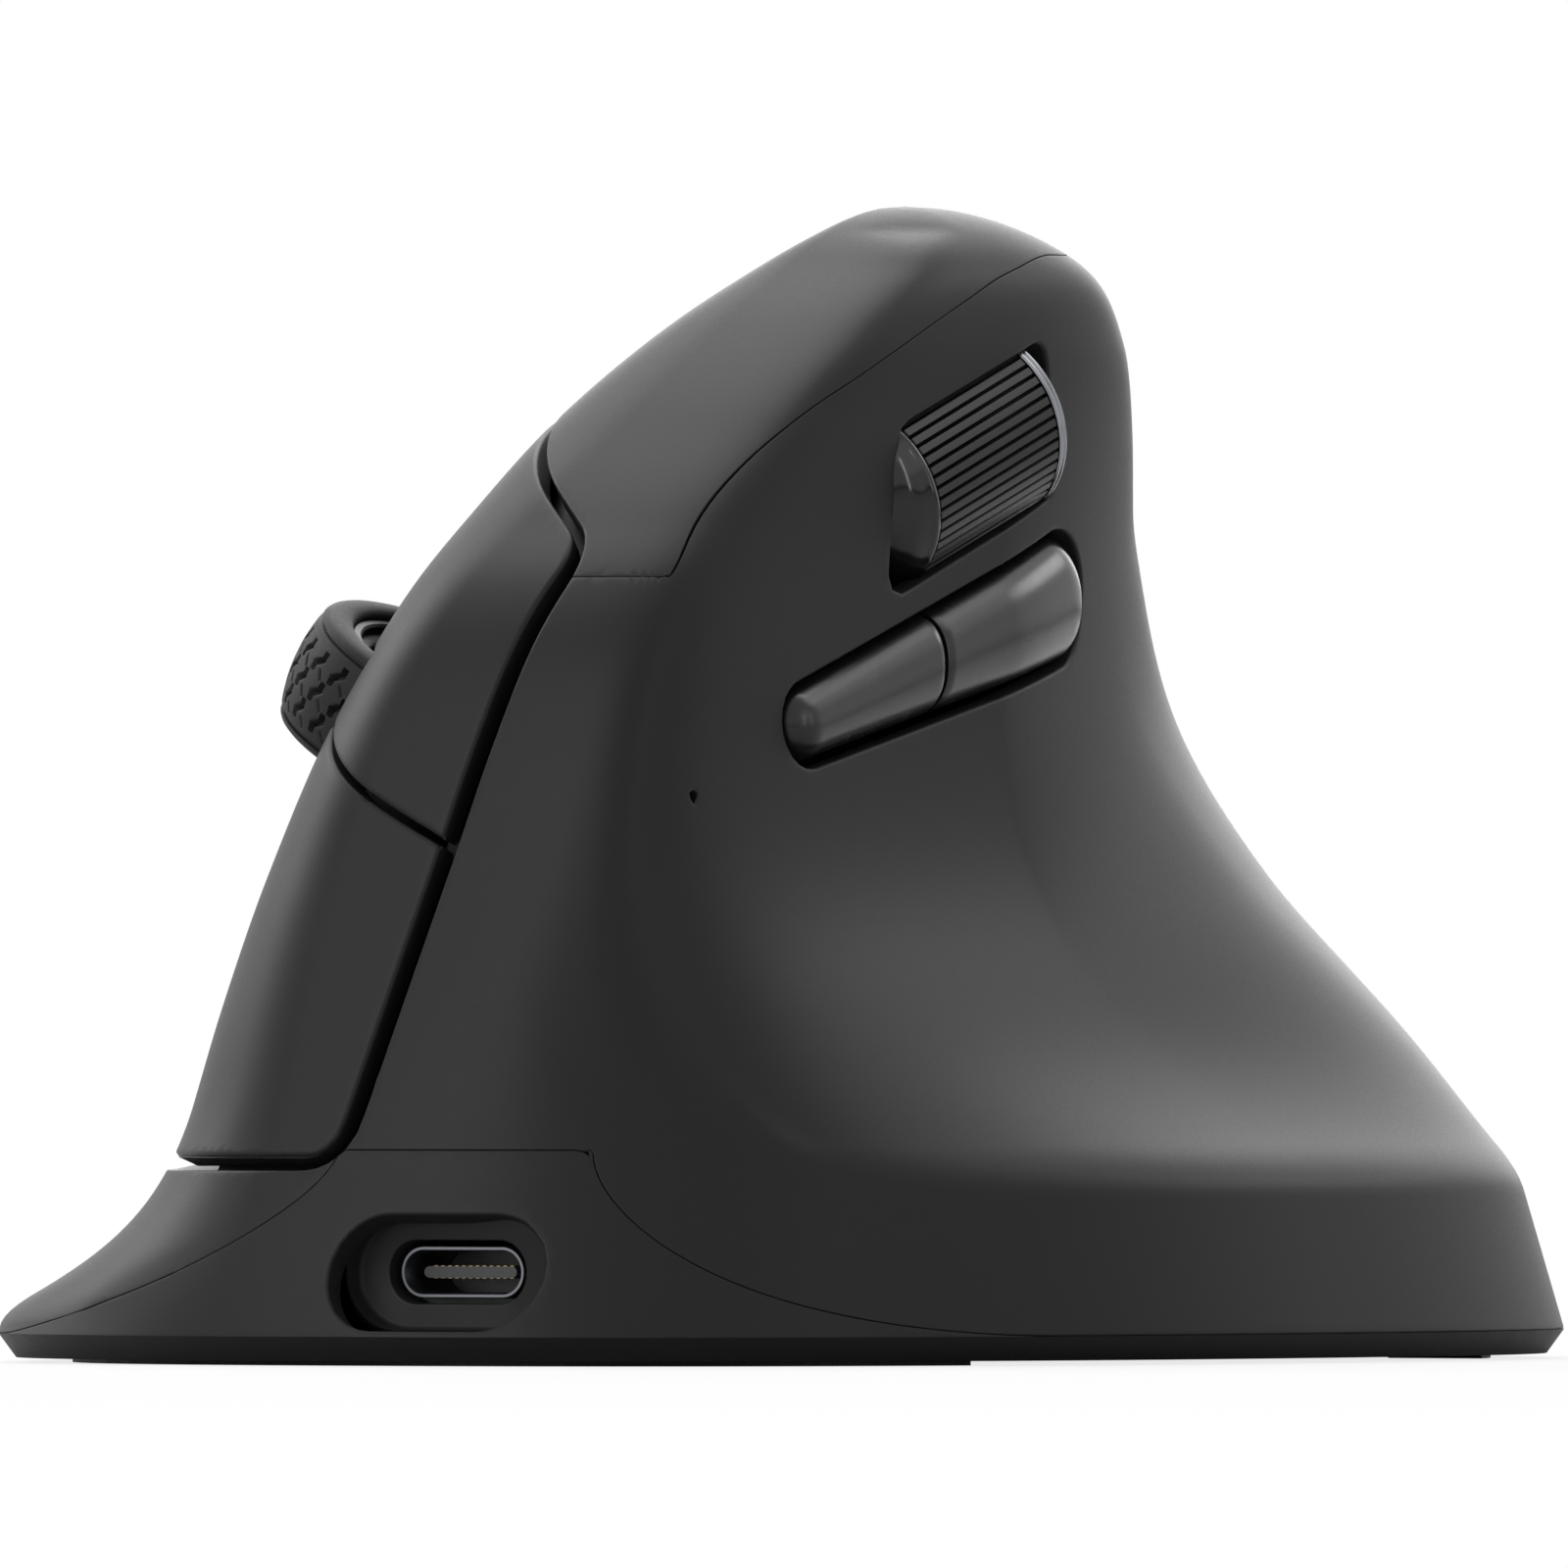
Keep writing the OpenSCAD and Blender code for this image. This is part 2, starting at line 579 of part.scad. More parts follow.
// Opening round the roller, its front end leaning
module roller_opening() rounded(1.2) {
    h = sqrt(pow(roller_r, 2) - pow(roller_r - roller_proud, 2)) + slot_gap + 0.2;
    l = roller_length / 2 + slot_gap;
    polygon([[-l + 3.4, h], [l + 1.6, h], [l + 0.2, -h], [-l - 1.9, -h]]);
}
module roller_room(d) roller_side() roller_turned() rotate_extrude() polygon([[0, -roller_length / 2 - d],
    [cap_front_r + d, -roller_length / 2 - d], [roller_r + d, -roller_length / 2 + cap_length - d],
    [roller_r + d, roller_length / 2 + d], [0, roller_length / 2 + d]]);
// Room of the thumb buttons and of their flange behind the wall
module side_room() key_side() {
    along_x(cap_back_x, far) side_outline(slot_gap);
    along_x(cap_back_x - side_flange - side_press - slot_gap, cap_back_x + slot_gap)
        side_outline(side_lip + slot_gap);
}
module side_outline(d = 0) translate([0, -side_drop]) hull() {
    translate([side_front_y, 0]) circle(r = side_front_r + d);
    translate([side_back_y, 0]) circle(r = side_back_r + d);
}

module top_cover() color("#333335") moulded() difference() {
    union() {
        shell();
        cover_post(3);
    }
    thumb_zone(seam);
    apron_zone(seam);
    skirt_zone(seam);
    button_zone(button_gap);
    cover_holes();
    roller_room(slot_gap);
    side_room();
}

// A main button: its panel, the arm to the hinge barrel and the rib over its switch
module main_button(up) {
    barrel_low = up > 0 ? ear_half + barrel_gap : -ear_half - barrel_gap - barrel_length;
    moulded() difference() {
        union() {
            intersection() {
                shell();
                button_zone();
            }
            intersection() {
                loft();
                button_zone();
                union() {
                    finger_side() translate([-12, hinge_dy - 2, barrel_low])
                        cube([12 + hinge_in, 4, barrel_length]);
                    finger_side() translate([-12, switch_y - 1.5, up * switch_up - 1.5])
                        cube([12 + board_in - switch_size[0] - plunger - plunger_gap, 3, 3]);
                }
            }
        }
        along_y(-far, far) if (up > 0) difference() {
            square(4 * far, center = true);
            over_split(split_gap / 2);
        } else over_split(-split_gap / 2);
        finger_side() cylinder(r = wheel_r + 0.7, h = wheel_width + 1.6, center = true);
        finger_side() translate([hinge_in, hinge_dy, 0])
            cylinder(r = hinge_barrel_r - 0.4, h = 4 * barrel_length, center = true);
    }
    finger_side() translate([hinge_in, hinge_dy, barrel_low]) difference() {
        cylinder(r = hinge_barrel_r, h = barrel_length);
        translate([0, 0, -1]) cylinder(r = hinge_pin_r + run_fit, h = barrel_length + 2);
    }
}
module left_click_button() color("#2c2c2e") main_button(1);
module right_click_button() color("#2c2c2e") main_button(-1);

module hinge_pin() color("#8d9094") finger_side() translate([hinge_in, hinge_dy, 0])
    cylinder(r = hinge_pin_r, h = 2 * (ear_half + barrel_gap + barrel_length) + 1, center = true);

// Wheel: a rubber tyre with tread blocks on a spoked hub
tyre_in = 7.4;
tread_depth = 0.7;
wheel_half = wheel_width / 2;
module scroll_tyre() color("#2a2a2b") finger_side() difference() {
    rotate_extrude($fn = 64) polygon([[tyre_in, -wheel_half + 0.4], [wheel_r - 1.6, -wheel_half],
        [wheel_r - 0.5, -wheel_half + 0.8], [wheel_r, -wheel_half + 1.8], [wheel_r, wheel_half - 1.8],
        [wheel_r - 0.5, wheel_half - 0.8], [wheel_r - 1.6, wheel_half], [tyre_in, wheel_half - 0.4]]);
    for (i = [0 : tread_count - 1]) rotate([0, 0, i * 360 / tread_count]) for (s = [-1, 1])
        rotate([0, 0, s * 90 / tread_count]) translate([wheel_r, 0, s * wheel_half / 2])
            rotate([s * 28, 0, 0]) cube([2 * tread_depth, 0.7, wheel_width * 0.42], center = true);
}
module scroll_hub() color("#3a3a3c") finger_side() difference() {
    rotate_extrude($fn = 64) polygon([[axle_r + run_fit, -wheel_half + 0.3], [2.8, -wheel_half + 0.3],
        [2.8, -1], [6, -1], [6, -wheel_half + 0.9], [tyre_in, -wheel_half + 0.9],
        [tyre_in, wheel_half - 0.9], [6, wheel_half - 0.9], [6, 1], [2.8, 1],
        [2.8, wheel_half - 0.3], [axle_r + run_fit, wheel_half - 0.3]]);
    for (i = [0 : 4]) rotate([0, 0, i * 72]) translate([4.4, 0, 0]) cylinder(r = 1.1, h = 10, center = true);
}
module scroll_axle() color("#8d9094") finger_side() cylinder(r = axle_r, h = 2 * axle_half, center = true);
axle_half = cheek_at + cheek_t + 2.6;

// Fixed holder: two cheeks with slots that let the axle be pressed in, bridged behind the wheel
holder_back = 18.5;
module holder_body() {
    for (s = [-1, 1]) translate([-3, -5, s > 0 ? cheek_at : -cheek_at - cheek_t])
        cube([40, holder_back + 5, cheek_t]);
    translate([-3, wheel_r + 0.9, -cheek_at - cheek_t]) cube([40, 1.8, 2 * (cheek_at + cheek_t)]);
}
module axle_slot(d) finger_side() hull() for (x = [-6, wheel_press + 0.1]) translate([x, 0, 0])
    cylinder(r = axle_r + d, h = 30, center = true);
module wheel_holder() color("#4a4a4d") moulded() difference() {
    intersection() {
        finger_side() holder_body();
        loft(2, wall + press_room);
        translate([frame_back - far, -far, 0]) cube([far, 2 * far, far]);
    }
    axle_slot(run_fit);
}
module wheel_encoder() color("#5b5b60") moulded() difference() {
    intersection() {
        finger_side() translate([-1.6, -5, cheek_at + cheek_t]) cube([6, 10, 3.4]);
        loft(2, wall + press_room);
    }
    axle_slot(0.2);
}
module middle_switch() color("#5b5b60") finger_side()
    translate([axle_r + wheel_press + 0.15, -3, -cheek_at - cheek_t - 3]) cube([3, 6, 3]);

module switch_block(up, d = 0) finger_side()
    translate([board_in - switch_size[0] / 2, switch_y, up * switch_up])
        cube([for (w = switch_size) w + 2 * d], center = true);
module main_switch(up) difference() {
    switch_block(up);
    finger_side() translate([board_in - switch_size[0] - 1, switch_y, up * switch_up])
        translate([0, -plunger_width / 2 - 0.05, -plunger_width / 2 - 0.05])
            cube([plunger_length + 1, plunger_width + 0.1, plunger_width + 0.1]);
}
module left_switch() color("#3d3d42") main_switch(1);
module right_switch() color("#3d3d42") main_switch(-1);
module switch_plunger(up) finger_side() translate([board_in - switch_size[0] - plunger,
    switch_y - plunger_width / 2, up * switch_up - plunger_width / 2])
    cube([plunger_length, plunger_width, plunger_width]);
module left_plunger() color("#c8c8c4") switch_plunger(1);
module right_plunger() color("#c8c8c4") switch_plunger(-1);

// Board of the main switches, as tall as fits in front of the frame
board_room = frame_back - 0.3 - wheel_at[0] - (board_in + board) * cos(finger_tilt);
board_up = min(switch_up + 3, board_room / sin(finger_tilt));
board_down = -switch_up - 3.5;
finger_board_end = hinge_dy - hinge_barrel_r - 1;
module finger_board() color("#2f5f45") finger_side() difference() {
    translate([board_in, switch_y - 6.6, board_down])
        cube([board, finger_board_end - switch_y + 6.6, board_up - board_down]);
    translate([0, switch_y - 7, -cheek_at - cheek_t - 0.4])
        cube([9, holder_back - switch_y + 7.4, 2 * (cheek_at + cheek_t + 0.4)]);
}

// Frame: a plate on two legs, with the hinge ear, board posts and feet
frame_low = max(rim_z + battery_height + 1.5, board_top + 5);
frame_front = wheel_y + wheel_r + 1.5;
module frame_outline() rounded(1.5) polygon([[leg_front, rim_z], [leg_front + leg, rim_z],
    [leg_front + leg, frame_low], [leg_back, frame_low], [leg_back, rim_z], [leg_back + leg, rim_z],
    [leg_back + leg, 16 * kz], [30 * ky, 32 * kz], [20 * ky, 48 * kz], [8 * ky, 60 * kz], [-10 * ky, 60 * kz],
    [frame_front, 52 * kz], [frame_front, frame_low + 3], [leg_front, frame_low]]);
finger_posts = [[finger_board_end - 3.5, board_up - 4], [finger_board_end - 3.5, board_down + 3]];
side_posts = [[7.5, -side_drop], [-9, -side_drop]];
module inner_frame() color("#56565a") difference() {
    union() {
        along_x(frame_back, frame_face) frame_outline();
        for (y = [leg_front, leg_back]) translate([frame_x - 4, y, rim_z]) cube([8, leg, 5.5]);
        intersection() {
            finger_side() {
                translate([hinge_in - hinge_barrel_r, hinge_dy - hinge_barrel_r, -ear_half])
                    cube([40, 2 * hinge_barrel_r, 2 * ear_half]);
                for (p = finger_posts) translate([board_in + board, p[0], p[1]]) rotate([0, 90, 0])
                    cylinder(r = 2, h = 40);
            }
            translate([frame_back - far + frame_t / 2, -far, 0]) cube([far, 2 * far, far]);
        }
        for (p = side_posts) on_thumb(p[0], p[1]) translate([frame_x, 0, 0]) rotate([0, 90, 0])
            cylinder(r = 1.8, h = side_board_x - frame_x);
    }
    finger_side() translate([hinge_in, hinge_dy, 0]) cylinder(r = hinge_pin_r + 0.01, h = 20, center = true);
    for (i = [4, 5]) translate([case_screw_at[i][0], case_screw_at[i][1], 0])
        cylinder(r = screw_r + 0.05, h = screw_length + 0.6 - eps);
    along_x(frame_back - 1, frame_face + 1) for (p = [[18, 20], [4, 22]]) translate([p[0] * ky, p[1] * kz])
        circle(r = 5);
    for (up = [-1, 1]) {
        switch_block(up, post_gap);
        finger_side() translate([hinge_in, hinge_dy, up * (ear_half + barrel_gap + barrel_length / 2)])
            cylinder(r = hinge_barrel_r + barrel_gap, h = barrel_length + barrel_gap, center = true);
    }
}

// Thumb roller: ribbed barrel, flared glossy cap at the front, thin bright ring at the back
cap_length = 3.2;
cap_front_r = roller_r - 2.2;
ring_length = 0.8;
roller_axle_r = 1;
module roller_turned() translate([roller_x, 0, 0]) rotate([-90, 0, 0]) children();
rib_side = [[-0.30, 0.35], [-0.18, 0], [0.18, 0], [0.30, 0.35]];
module roller_barrel() color("#2e2e30") roller_side() roller_turned()
    translate([0, 0, -roller_length / 2 + cap_length])
    linear_extrude(roller_length - cap_length - ring_length) difference() {
        polygon([for (i = [0 : roller_ribs - 1]) for (q = rib_side)
            let(a = (i + q[0]) * 360 / roller_ribs, r = roller_r - 0.1 - q[1]) [r * cos(a), r * sin(a)]]);
        circle(r = roller_axle_r + run_fit);
    }
cap_flare = [[0, 0], [0.35, 0.25], [0.7, 0.52], [0.9, 0.78], [1, 0.92], [1, 1]];
module roller_cap() color("#1d1d1f") roller_side() roller_turned() translate([0, 0, -roller_length / 2])
    rotate_extrude($fn = 64) polygon(concat([[roller_axle_r + run_fit, 0]],
        [for (p = cap_flare) [mix(cap_front_r, roller_r, p[0]), p[1] * cap_length]],
        [[roller_axle_r + run_fit, cap_length]]));
module roller_ring() color("#b9bbbe") roller_side() roller_turned()
    translate([0, 0, roller_length / 2 - ring_length]) difference() {
        cylinder(r = roller_r, h = ring_length, $fn = 64);
        translate([0, 0, -1]) cylinder(r = roller_axle_r + run_fit, h = ring_length + 2);
    }
bracket_half = roller_length / 2 + 0.5;
module roller_axle() color("#8d9094") roller_side() roller_turned()
    cylinder(r = roller_axle_r, h = 2 * (bracket_half + bracket_t), center = true);
module roller_bracket() color("#4a4a4d") roller_side() difference() {
    union() {
        translate([frame_face, -bracket_half - bracket_t, -4])
            cube([bracket_t, 2 * (bracket_half + bracket_t), 8]);
        for (s = [-1, 1]) translate([0, s * (bracket_half + bracket_t / 2), 0]) {
            translate([roller_x, 0, 0]) rotate([90, 0, 0]) cylinder(r = 2.4, h = bracket_t, center = true);
            translate([frame_face, -bracket_t / 2, -2.4]) cube([roller_x - frame_face, bracket_t, 4.8]);
        }
    }
    roller_turned() cylinder(r = roller_axle_r + 0.01, h = 60, center = true);
}

// Thumb buttons: a crowned pill, split upright, with a flange behind the wall and a stem
side_steps = [0, 0.4, 0.7, 1];
module pill($fn = 24) {
    for (k = [1 : len(side_steps) - 1]) hull() for (t = [side_steps[k - 1], side_steps[k]]) {
        y = mix(side_front_y, side_back_y, t);
        r = mix(side_front_r, side_back_r, t);
        w = thumb_wall(y, -side_drop) - side_sunk;
        on_thumb(y, -side_drop) {
            translate([w, 0, 0]) rotate([0, 90, 0]) scale([1, 1, (side_sunk + side_crown) / r]) sphere(r = r);
            along_x(cap_back_x - side_flange / 2, w) circle(r = r);
        }
    }
    key_side() along_x(cap_back_x - side_flange, cap_back_x) side_outline(side_lip);
}
module side_half(s) translate([side_split_y + s * slot_gap / 2, -side_drop]) rotate(-side_tilt)
    translate([s * far / 2, 0]) square(far, center = true);
module side_cap(s) difference() {
    intersection() {
        pill();
        key_side() along_x(0, far) side_half(s);
    }
    roller_room(slot_gap + 0.2);
}
side_stem_r = 1.5;
side_stem_x = side_board_x + board + side_switch_h + side_press + 0.1;
forward_at = -15;
back_at = 3;
module side_stem(y) on_thumb(y, -side_drop) along_x(side_stem_x, cap_back_x + 0.5)
    circle(r = side_stem_r, $fn = 24);
module forward_button() color("#242426") moulded() {
    side_cap(-1);
    side_stem(forward_at);
}
module back_button() color("#242426") moulded() {
    side_cap(1);
    side_stem(back_at);
}
module side_board() color("#2f5f45") on_thumb(0, -side_drop)
    along_x(side_board_x, side_board_x + board) polygon([[led_y - 1.2, led_z + side_drop - side_board_end],
        [led_y - 1.2, led_z + side_drop + side_board_end], [led_y + 7, side_board_half],
        [9.5, side_board_half], [9.5, -side_board_half], [led_y + 7, -side_board_half]]);
module side_switches() color("#3d3d42") for (y = [forward_at, back_at]) on_thumb(y, -side_drop)
    translate([side_board_x + board, -3, -3]) cube([side_switch_h, 6, 6]);
module indicator_led() color("#d9dde0") on_thumb(led_y, led_z)
    translate([side_board_x + board, -0.8, -0.5]) cube([0.7, 1.6, 1]);
module light_pipe() color("#c9ced2") on_thumb(led_y, led_z)
    translate([side_board_x + board + 0.8, 0, 0]) rotate([0, 90, 0])
        cylinder(r = 0.65, h = thumb_wall(led_y, led_z) - side_board_x - board - 1.1, $fn = 24);

// Base electronics
module main_board() color("#2f5f45") difference() {
    translate([0, 0, board_z]) linear_extrude(board) rounded(3) polygon([[port_x - 7, board_front],
        [port_x + 7, board_front], [board_mid + board_half, board_front + 9],
        [board_mid + board_half, board_back], [board_mid - board_half, board_back],
        [board_mid - board_half, board_front + 9]]);
    translate([sensor_at[0] - 4, sensor_at[1] - 3, 0]) cube([8, 6, 20]);
    translate([slider_at[0] - 1, slider_at[1] - slider_travel / 2 - 1.4, 0])
        cube([2, slider_travel + 2.8, 20]);
    for (p = board_screw_at) translate([p[0], p[1], 0]) cylinder(r = 1.1, h = 20);
}
usb_front = port_floor + usb_lip;
usb_back = usb_front + usb_length;
module usb_shell() color("#a9acb0") translate([port_x, 0, port_z]) along_y(usb_front, usb_back) difference() {
    slot(usb_width, usb_height);
    slot(usb_width - 0.6, usb_height - 0.6);
}
module usb_tongue() color("#77797d") translate([port_x, 0, port_z]) {
    along_y(usb_front + 1, usb_back) square([6.7, 0.7], center = true);
    along_y(usb_back - 1, usb_back) slot(usb_width - 0.6, usb_height - 0.6);
}
module optical_sensor() color("#1a1a1c") translate([sensor_at[0] - 5, sensor_at[1] - 4, board_top])
    cube([10, 8, 2.2]);
module sensor_lens() color("#c9ced2") translate([sensor_at[0], sensor_at[1], 0]) {
    translate([0, 0, foot_proud + 0.5]) rounded_plate(10.6, 7.6, board_z - foot_proud - 0.5, 2);
    translate([0, 0, board_z]) rounded_plate(7.6, 5.6, board, 1);
}
module battery() color("#5f6a72") translate([battery_at[0] - battery_width / 2, battery_at[1], rim_z])
    cube([battery_width, battery_length, battery_height]);
module front_foot() color("#cfd2d4") linear_extrude(foot) foot_outline(-1);
module back_foot() color("#cfd2d4") linear_extrude(foot) foot_outline(1);

module power_slider() color("#6a6a6e") translate([slider_at[0], slider_at[1] - slider_travel / 2, 0]) {
    translate([0, 0, foot_proud + 0.5])
        rounded_plate(slider_slot[0] - 0.4, 5, rim_z - foot_proud - 0.5 + 0.1, 0.8);
    translate([-3.4, -3.5, rim_z + 0.1]) cube([6.8, 7, 0.6]);
    translate([-0.7, -1, rim_z + 0.7]) cube([1.4, 2, board_top - rim_z + 0.6]);
}
module power_switch() color("#3d3d42") translate([slider_at[0], slider_at[1], board_top]) difference() {
    translate([-2.2, -slider_travel / 2 - 3, 0]) cube([4.4, slider_travel + 6, 2.6]);
    translate([-1, -slider_travel / 2 - 1.4, -1]) cube([2, slider_travel + 2.8, 2.6]);
}
module pair_button() color("#6a6a6e") translate([pair_at[0], pair_at[1], 0]) {
    translate([0, 0, foot_proud + 0.3]) cylinder(r = 1.9, h = rim_z - foot_proud - 0.3 + 0.1);
    translate([0, 0, rim_z + 0.05]) cylinder(r = 2.9, h = 0.25);
}
module pair_switch() color("#3d3d42") translate([pair_at[0] - 2, pair_at[1] - 2, board_z - 0.45])
    cube([4, 4, 0.45]);

module case_screws() color("#8d9094") for (p = case_screw_at) translate([p[0], p[1], foot_proud + 0.2]) {
    cylinder(r = screw_head_r, h = plate * 0.6 - 0.2);
    cylinder(r = screw_r, h = screw_length);
}
module board_screws() color("#8d9094") for (p = board_screw_at) translate([p[0], p[1], 0]) {
    translate([0, 0, board_top]) cylinder(r = 1.7, h = 1);
    translate([0, 0, rim_z + 0.2]) cylinder(r = 0.8, h = board_top - rim_z);
}

bottom_case();
finger_skirt();
thumb_cover();
top_cover();
left_click_button();
right_click_button();
scroll_tyre();
scroll_hub();
scroll_axle();
wheel_holder();
wheel_encoder();
middle_switch();
left_switch();
right_switch();
left_plunger();
right_plunger();
finger_board();
hinge_pin();
inner_frame();
roller_barrel();
roller_cap();
roller_ring();
roller_axle();
roller_bracket();
forward_button();
back_button();
side_board();
side_switches();
light_pipe();
indicator_led();
main_board();
usb_shell();
usb_tongue();
optical_sensor();
sensor_lens();
battery();
front_foot();
back_foot();
power_slider();
power_switch();
pair_button();
pair_switch();
case_screws();
board_screws();
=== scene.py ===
import json
import math

import bmesh
import bpy
import numpy as np
from mathutils import Matrix, Vector


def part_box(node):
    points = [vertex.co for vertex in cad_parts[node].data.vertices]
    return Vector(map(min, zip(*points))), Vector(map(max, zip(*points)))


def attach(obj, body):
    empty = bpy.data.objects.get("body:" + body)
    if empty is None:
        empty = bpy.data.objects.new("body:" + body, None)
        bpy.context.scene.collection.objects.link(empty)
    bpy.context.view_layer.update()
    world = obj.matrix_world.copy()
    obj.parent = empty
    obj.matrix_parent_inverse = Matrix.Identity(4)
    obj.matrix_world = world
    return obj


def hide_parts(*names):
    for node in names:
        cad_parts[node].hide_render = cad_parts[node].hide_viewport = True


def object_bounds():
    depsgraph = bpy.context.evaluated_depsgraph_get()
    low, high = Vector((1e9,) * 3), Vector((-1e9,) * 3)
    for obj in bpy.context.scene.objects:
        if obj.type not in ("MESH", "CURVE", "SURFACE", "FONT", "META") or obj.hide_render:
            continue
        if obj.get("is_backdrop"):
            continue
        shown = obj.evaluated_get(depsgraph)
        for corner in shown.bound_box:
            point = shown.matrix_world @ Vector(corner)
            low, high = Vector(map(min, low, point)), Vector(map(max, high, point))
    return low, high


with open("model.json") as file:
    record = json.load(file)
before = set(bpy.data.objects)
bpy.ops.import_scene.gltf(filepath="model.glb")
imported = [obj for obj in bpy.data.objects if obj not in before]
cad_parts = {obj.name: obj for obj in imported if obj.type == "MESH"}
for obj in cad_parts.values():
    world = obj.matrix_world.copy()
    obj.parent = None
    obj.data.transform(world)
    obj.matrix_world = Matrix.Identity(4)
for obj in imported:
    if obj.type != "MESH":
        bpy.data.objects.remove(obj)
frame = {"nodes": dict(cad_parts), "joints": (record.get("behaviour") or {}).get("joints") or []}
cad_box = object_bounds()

bl_info = {
    "name": "Vertical mouse",
    "version": (1, 0, 0),
    "blender": (4, 5, 0),
    "location": "View3D > Sidebar > Mouse",
    "description": "Dresses the solids of an upright right-hand mouse",
    "category": "Object",
}

MM = 0.001
NODES = frame["nodes"]

# The loft of the housing, in millimetres, as in the solids: x to the thumb, -y to the front, z up.
HEIGHT = 71.3
RIM = 1.8
WIDTH = 83
LENGTH = 112
FINGER_LINE = [[1.8, -30], [8, -29], [14, -27], [22, -24], [30, -21], [37, -18], [45, -14], [52, -11],
               [58, -8], [63, -3.8], [67.5, 1.7], [70, 5.6], [71.3, 8.5]]
THUMB_LINE = [[1.8, 20.5], [12, 19.8], [20, 19], [30, 18.4], [40, 17.8], [50, 17.4], [58, 17.3],
              [63, 17.2], [67, 16.2], [69.5, 13.8], [71.3, 8.5]]
FRONT_LINE = [[1.8, -56], [6, -54.6], [14.5, -51.5], [30, -46.5], [38, -44], [44, -41.5], [48, -38.5],
              [52, -33.8], [58, -25.8], [64, -16.8], [68, -9.8], [71.3, 0.5]]
BACK_LINE = [[1.8, 52], [12, 51], [20, 48.5], [30, 44.5], [40, 39], [50, 33], [58, 28], [63, 24],
             [67.5, 18], [70, 11], [71.3, 0.5]]
MIDDLE_X = [[1.8, -4], [12, -4], [30, -3], [50, 2], [60, 5.5], [71.3, 8.5]]
MIDDLE_Y = [[1.8, -4], [30, -4], [50, -2], [71.3, 0.5]]
FRONT_FINGER_POWER = [[1.8, 2.3], [8, 1.93], [14, 1.9], [22, 1.95], [45, 1.98], [52, 2.06], [58, 2.2],
                      [71.3, 2.2]]
BACK_THUMB_POWER = [[1.8, 2.2], [12, 2.1], [20, 2.1], [30, 1.65], [40, 1.45], [50, 1.62], [58, 1.8],
                    [63, 2.05], [67.5, 2.35], [71.3, 2.2]]
FRONT_THUMB_CORNER = [[1.8, 14], [14, 10], [24, 6], [34, 3.6], [44, 2.8], [62, 2.8], [67, 3.2], [69.5, 5],
                      [71.3, 30]]
CREASE_LINE = [[-180, 3.2], [-135, 3.2], [-120, 3.9], [-110, 5], [-105, 6.1], [-100, 8], [-95, 11],
               [-90, 14.5], [-80, 21], [-72, 23], [-65, 20], [-58, 15.6], [-50, 13], [-43, 12],
               [-30, 11.8], [0, 11.8], [90, 11.5], [120, 9], [150, 4.5], [180, 3.2]]
FLARE_POWER = [[-180, 2.5], [-90, 2.5], [-60, 3], [-30, 3], [0, 2.8], [40, 1.8], [90, 1.3], [130, 1.8],
               [180, 2.5]]
FLARE_HEIGHT = [[-180, 13], [-90, 13], [-75, 14], [-60, 24], [-30, 30], [0, 32], [40, 38], [90, 44],
                [130, 30], [180, 13]]
FRONT_SHARE = [[-180, 0], [-112, 0], [-92, 1], [-73, 1], [-48, 0], [180, 0]]
# A corner that takes up the whole quarter, and the roundness of quarters that keep one all the way up.
FULL_CORNER = 99
FRONT_THUMB_POWER, BACK_FINGER_POWER, RIM_POWER = 2.2, 2.3, 2.35
RIM_LEAN = 0.28


def dome(z):
    return 1 - np.sqrt(np.clip(1 - np.asarray(z, float) / HEIGHT, 0, None))


class Curve:
    """A smooth line through rows of [place, value], by height up the dome or by angle without overshoot."""

    def __init__(self, rows, by_height=True):
        x, y = np.array(rows, float).T
        x = dome(x) if by_height else x
        step = np.diff(y) / np.diff(x)
        if by_height:
            m = np.concatenate((step[:1], (y[2:] - y[:-2]) / (x[2:] - x[:-2]), step[-1:]))
        else:
            l, r = step[:-1], step[1:]
            m = np.where(l * r > 0, 2 * l * r / np.where(l + r == 0, 1, l + r), 0)
            m = np.concatenate(([0], m, [0]))
        self.x, self.y, self.m = x, y, m

    def __call__(self, q):
        i = np.clip(np.searchsorted(self.x, q, side="right") - 1, 0, len(self.x) - 2)
        h = self.x[i + 1] - self.x[i]
        s = (q - self.x[i]) / h
        s2, s3 = s * s, s * s * s
        return ((2 * s3 - 3 * s2 + 1) * self.y[i] + (s3 - 2 * s2 + s) * h * self.m[i]
                + (3 * s2 - 2 * s3) * self.y[i + 1] + (s3 - s2) * h * self.m[i + 1])


finger_line, thumb_line = Curve(FINGER_LINE), Curve(THUMB_LINE)
front_line, back_line = Curve(FRONT_LINE), Curve(BACK_LINE)
middle_x, middle_y = Curve(MIDDLE_X), Curve(MIDDLE_Y)
front_finger_power, back_thumb_power = Curve(FRONT_FINGER_POWER), Curve(BACK_THUMB_POWER)
front_thumb_corner = Curve(FRONT_THUMB_CORNER)
crease_line = Curve(CREASE_LINE, False)
flare_power, flare_height = Curve(FLARE_POWER, False), Curve(FLARE_HEIGHT, False)
front_share = Curve(FRONT_SHARE, False)


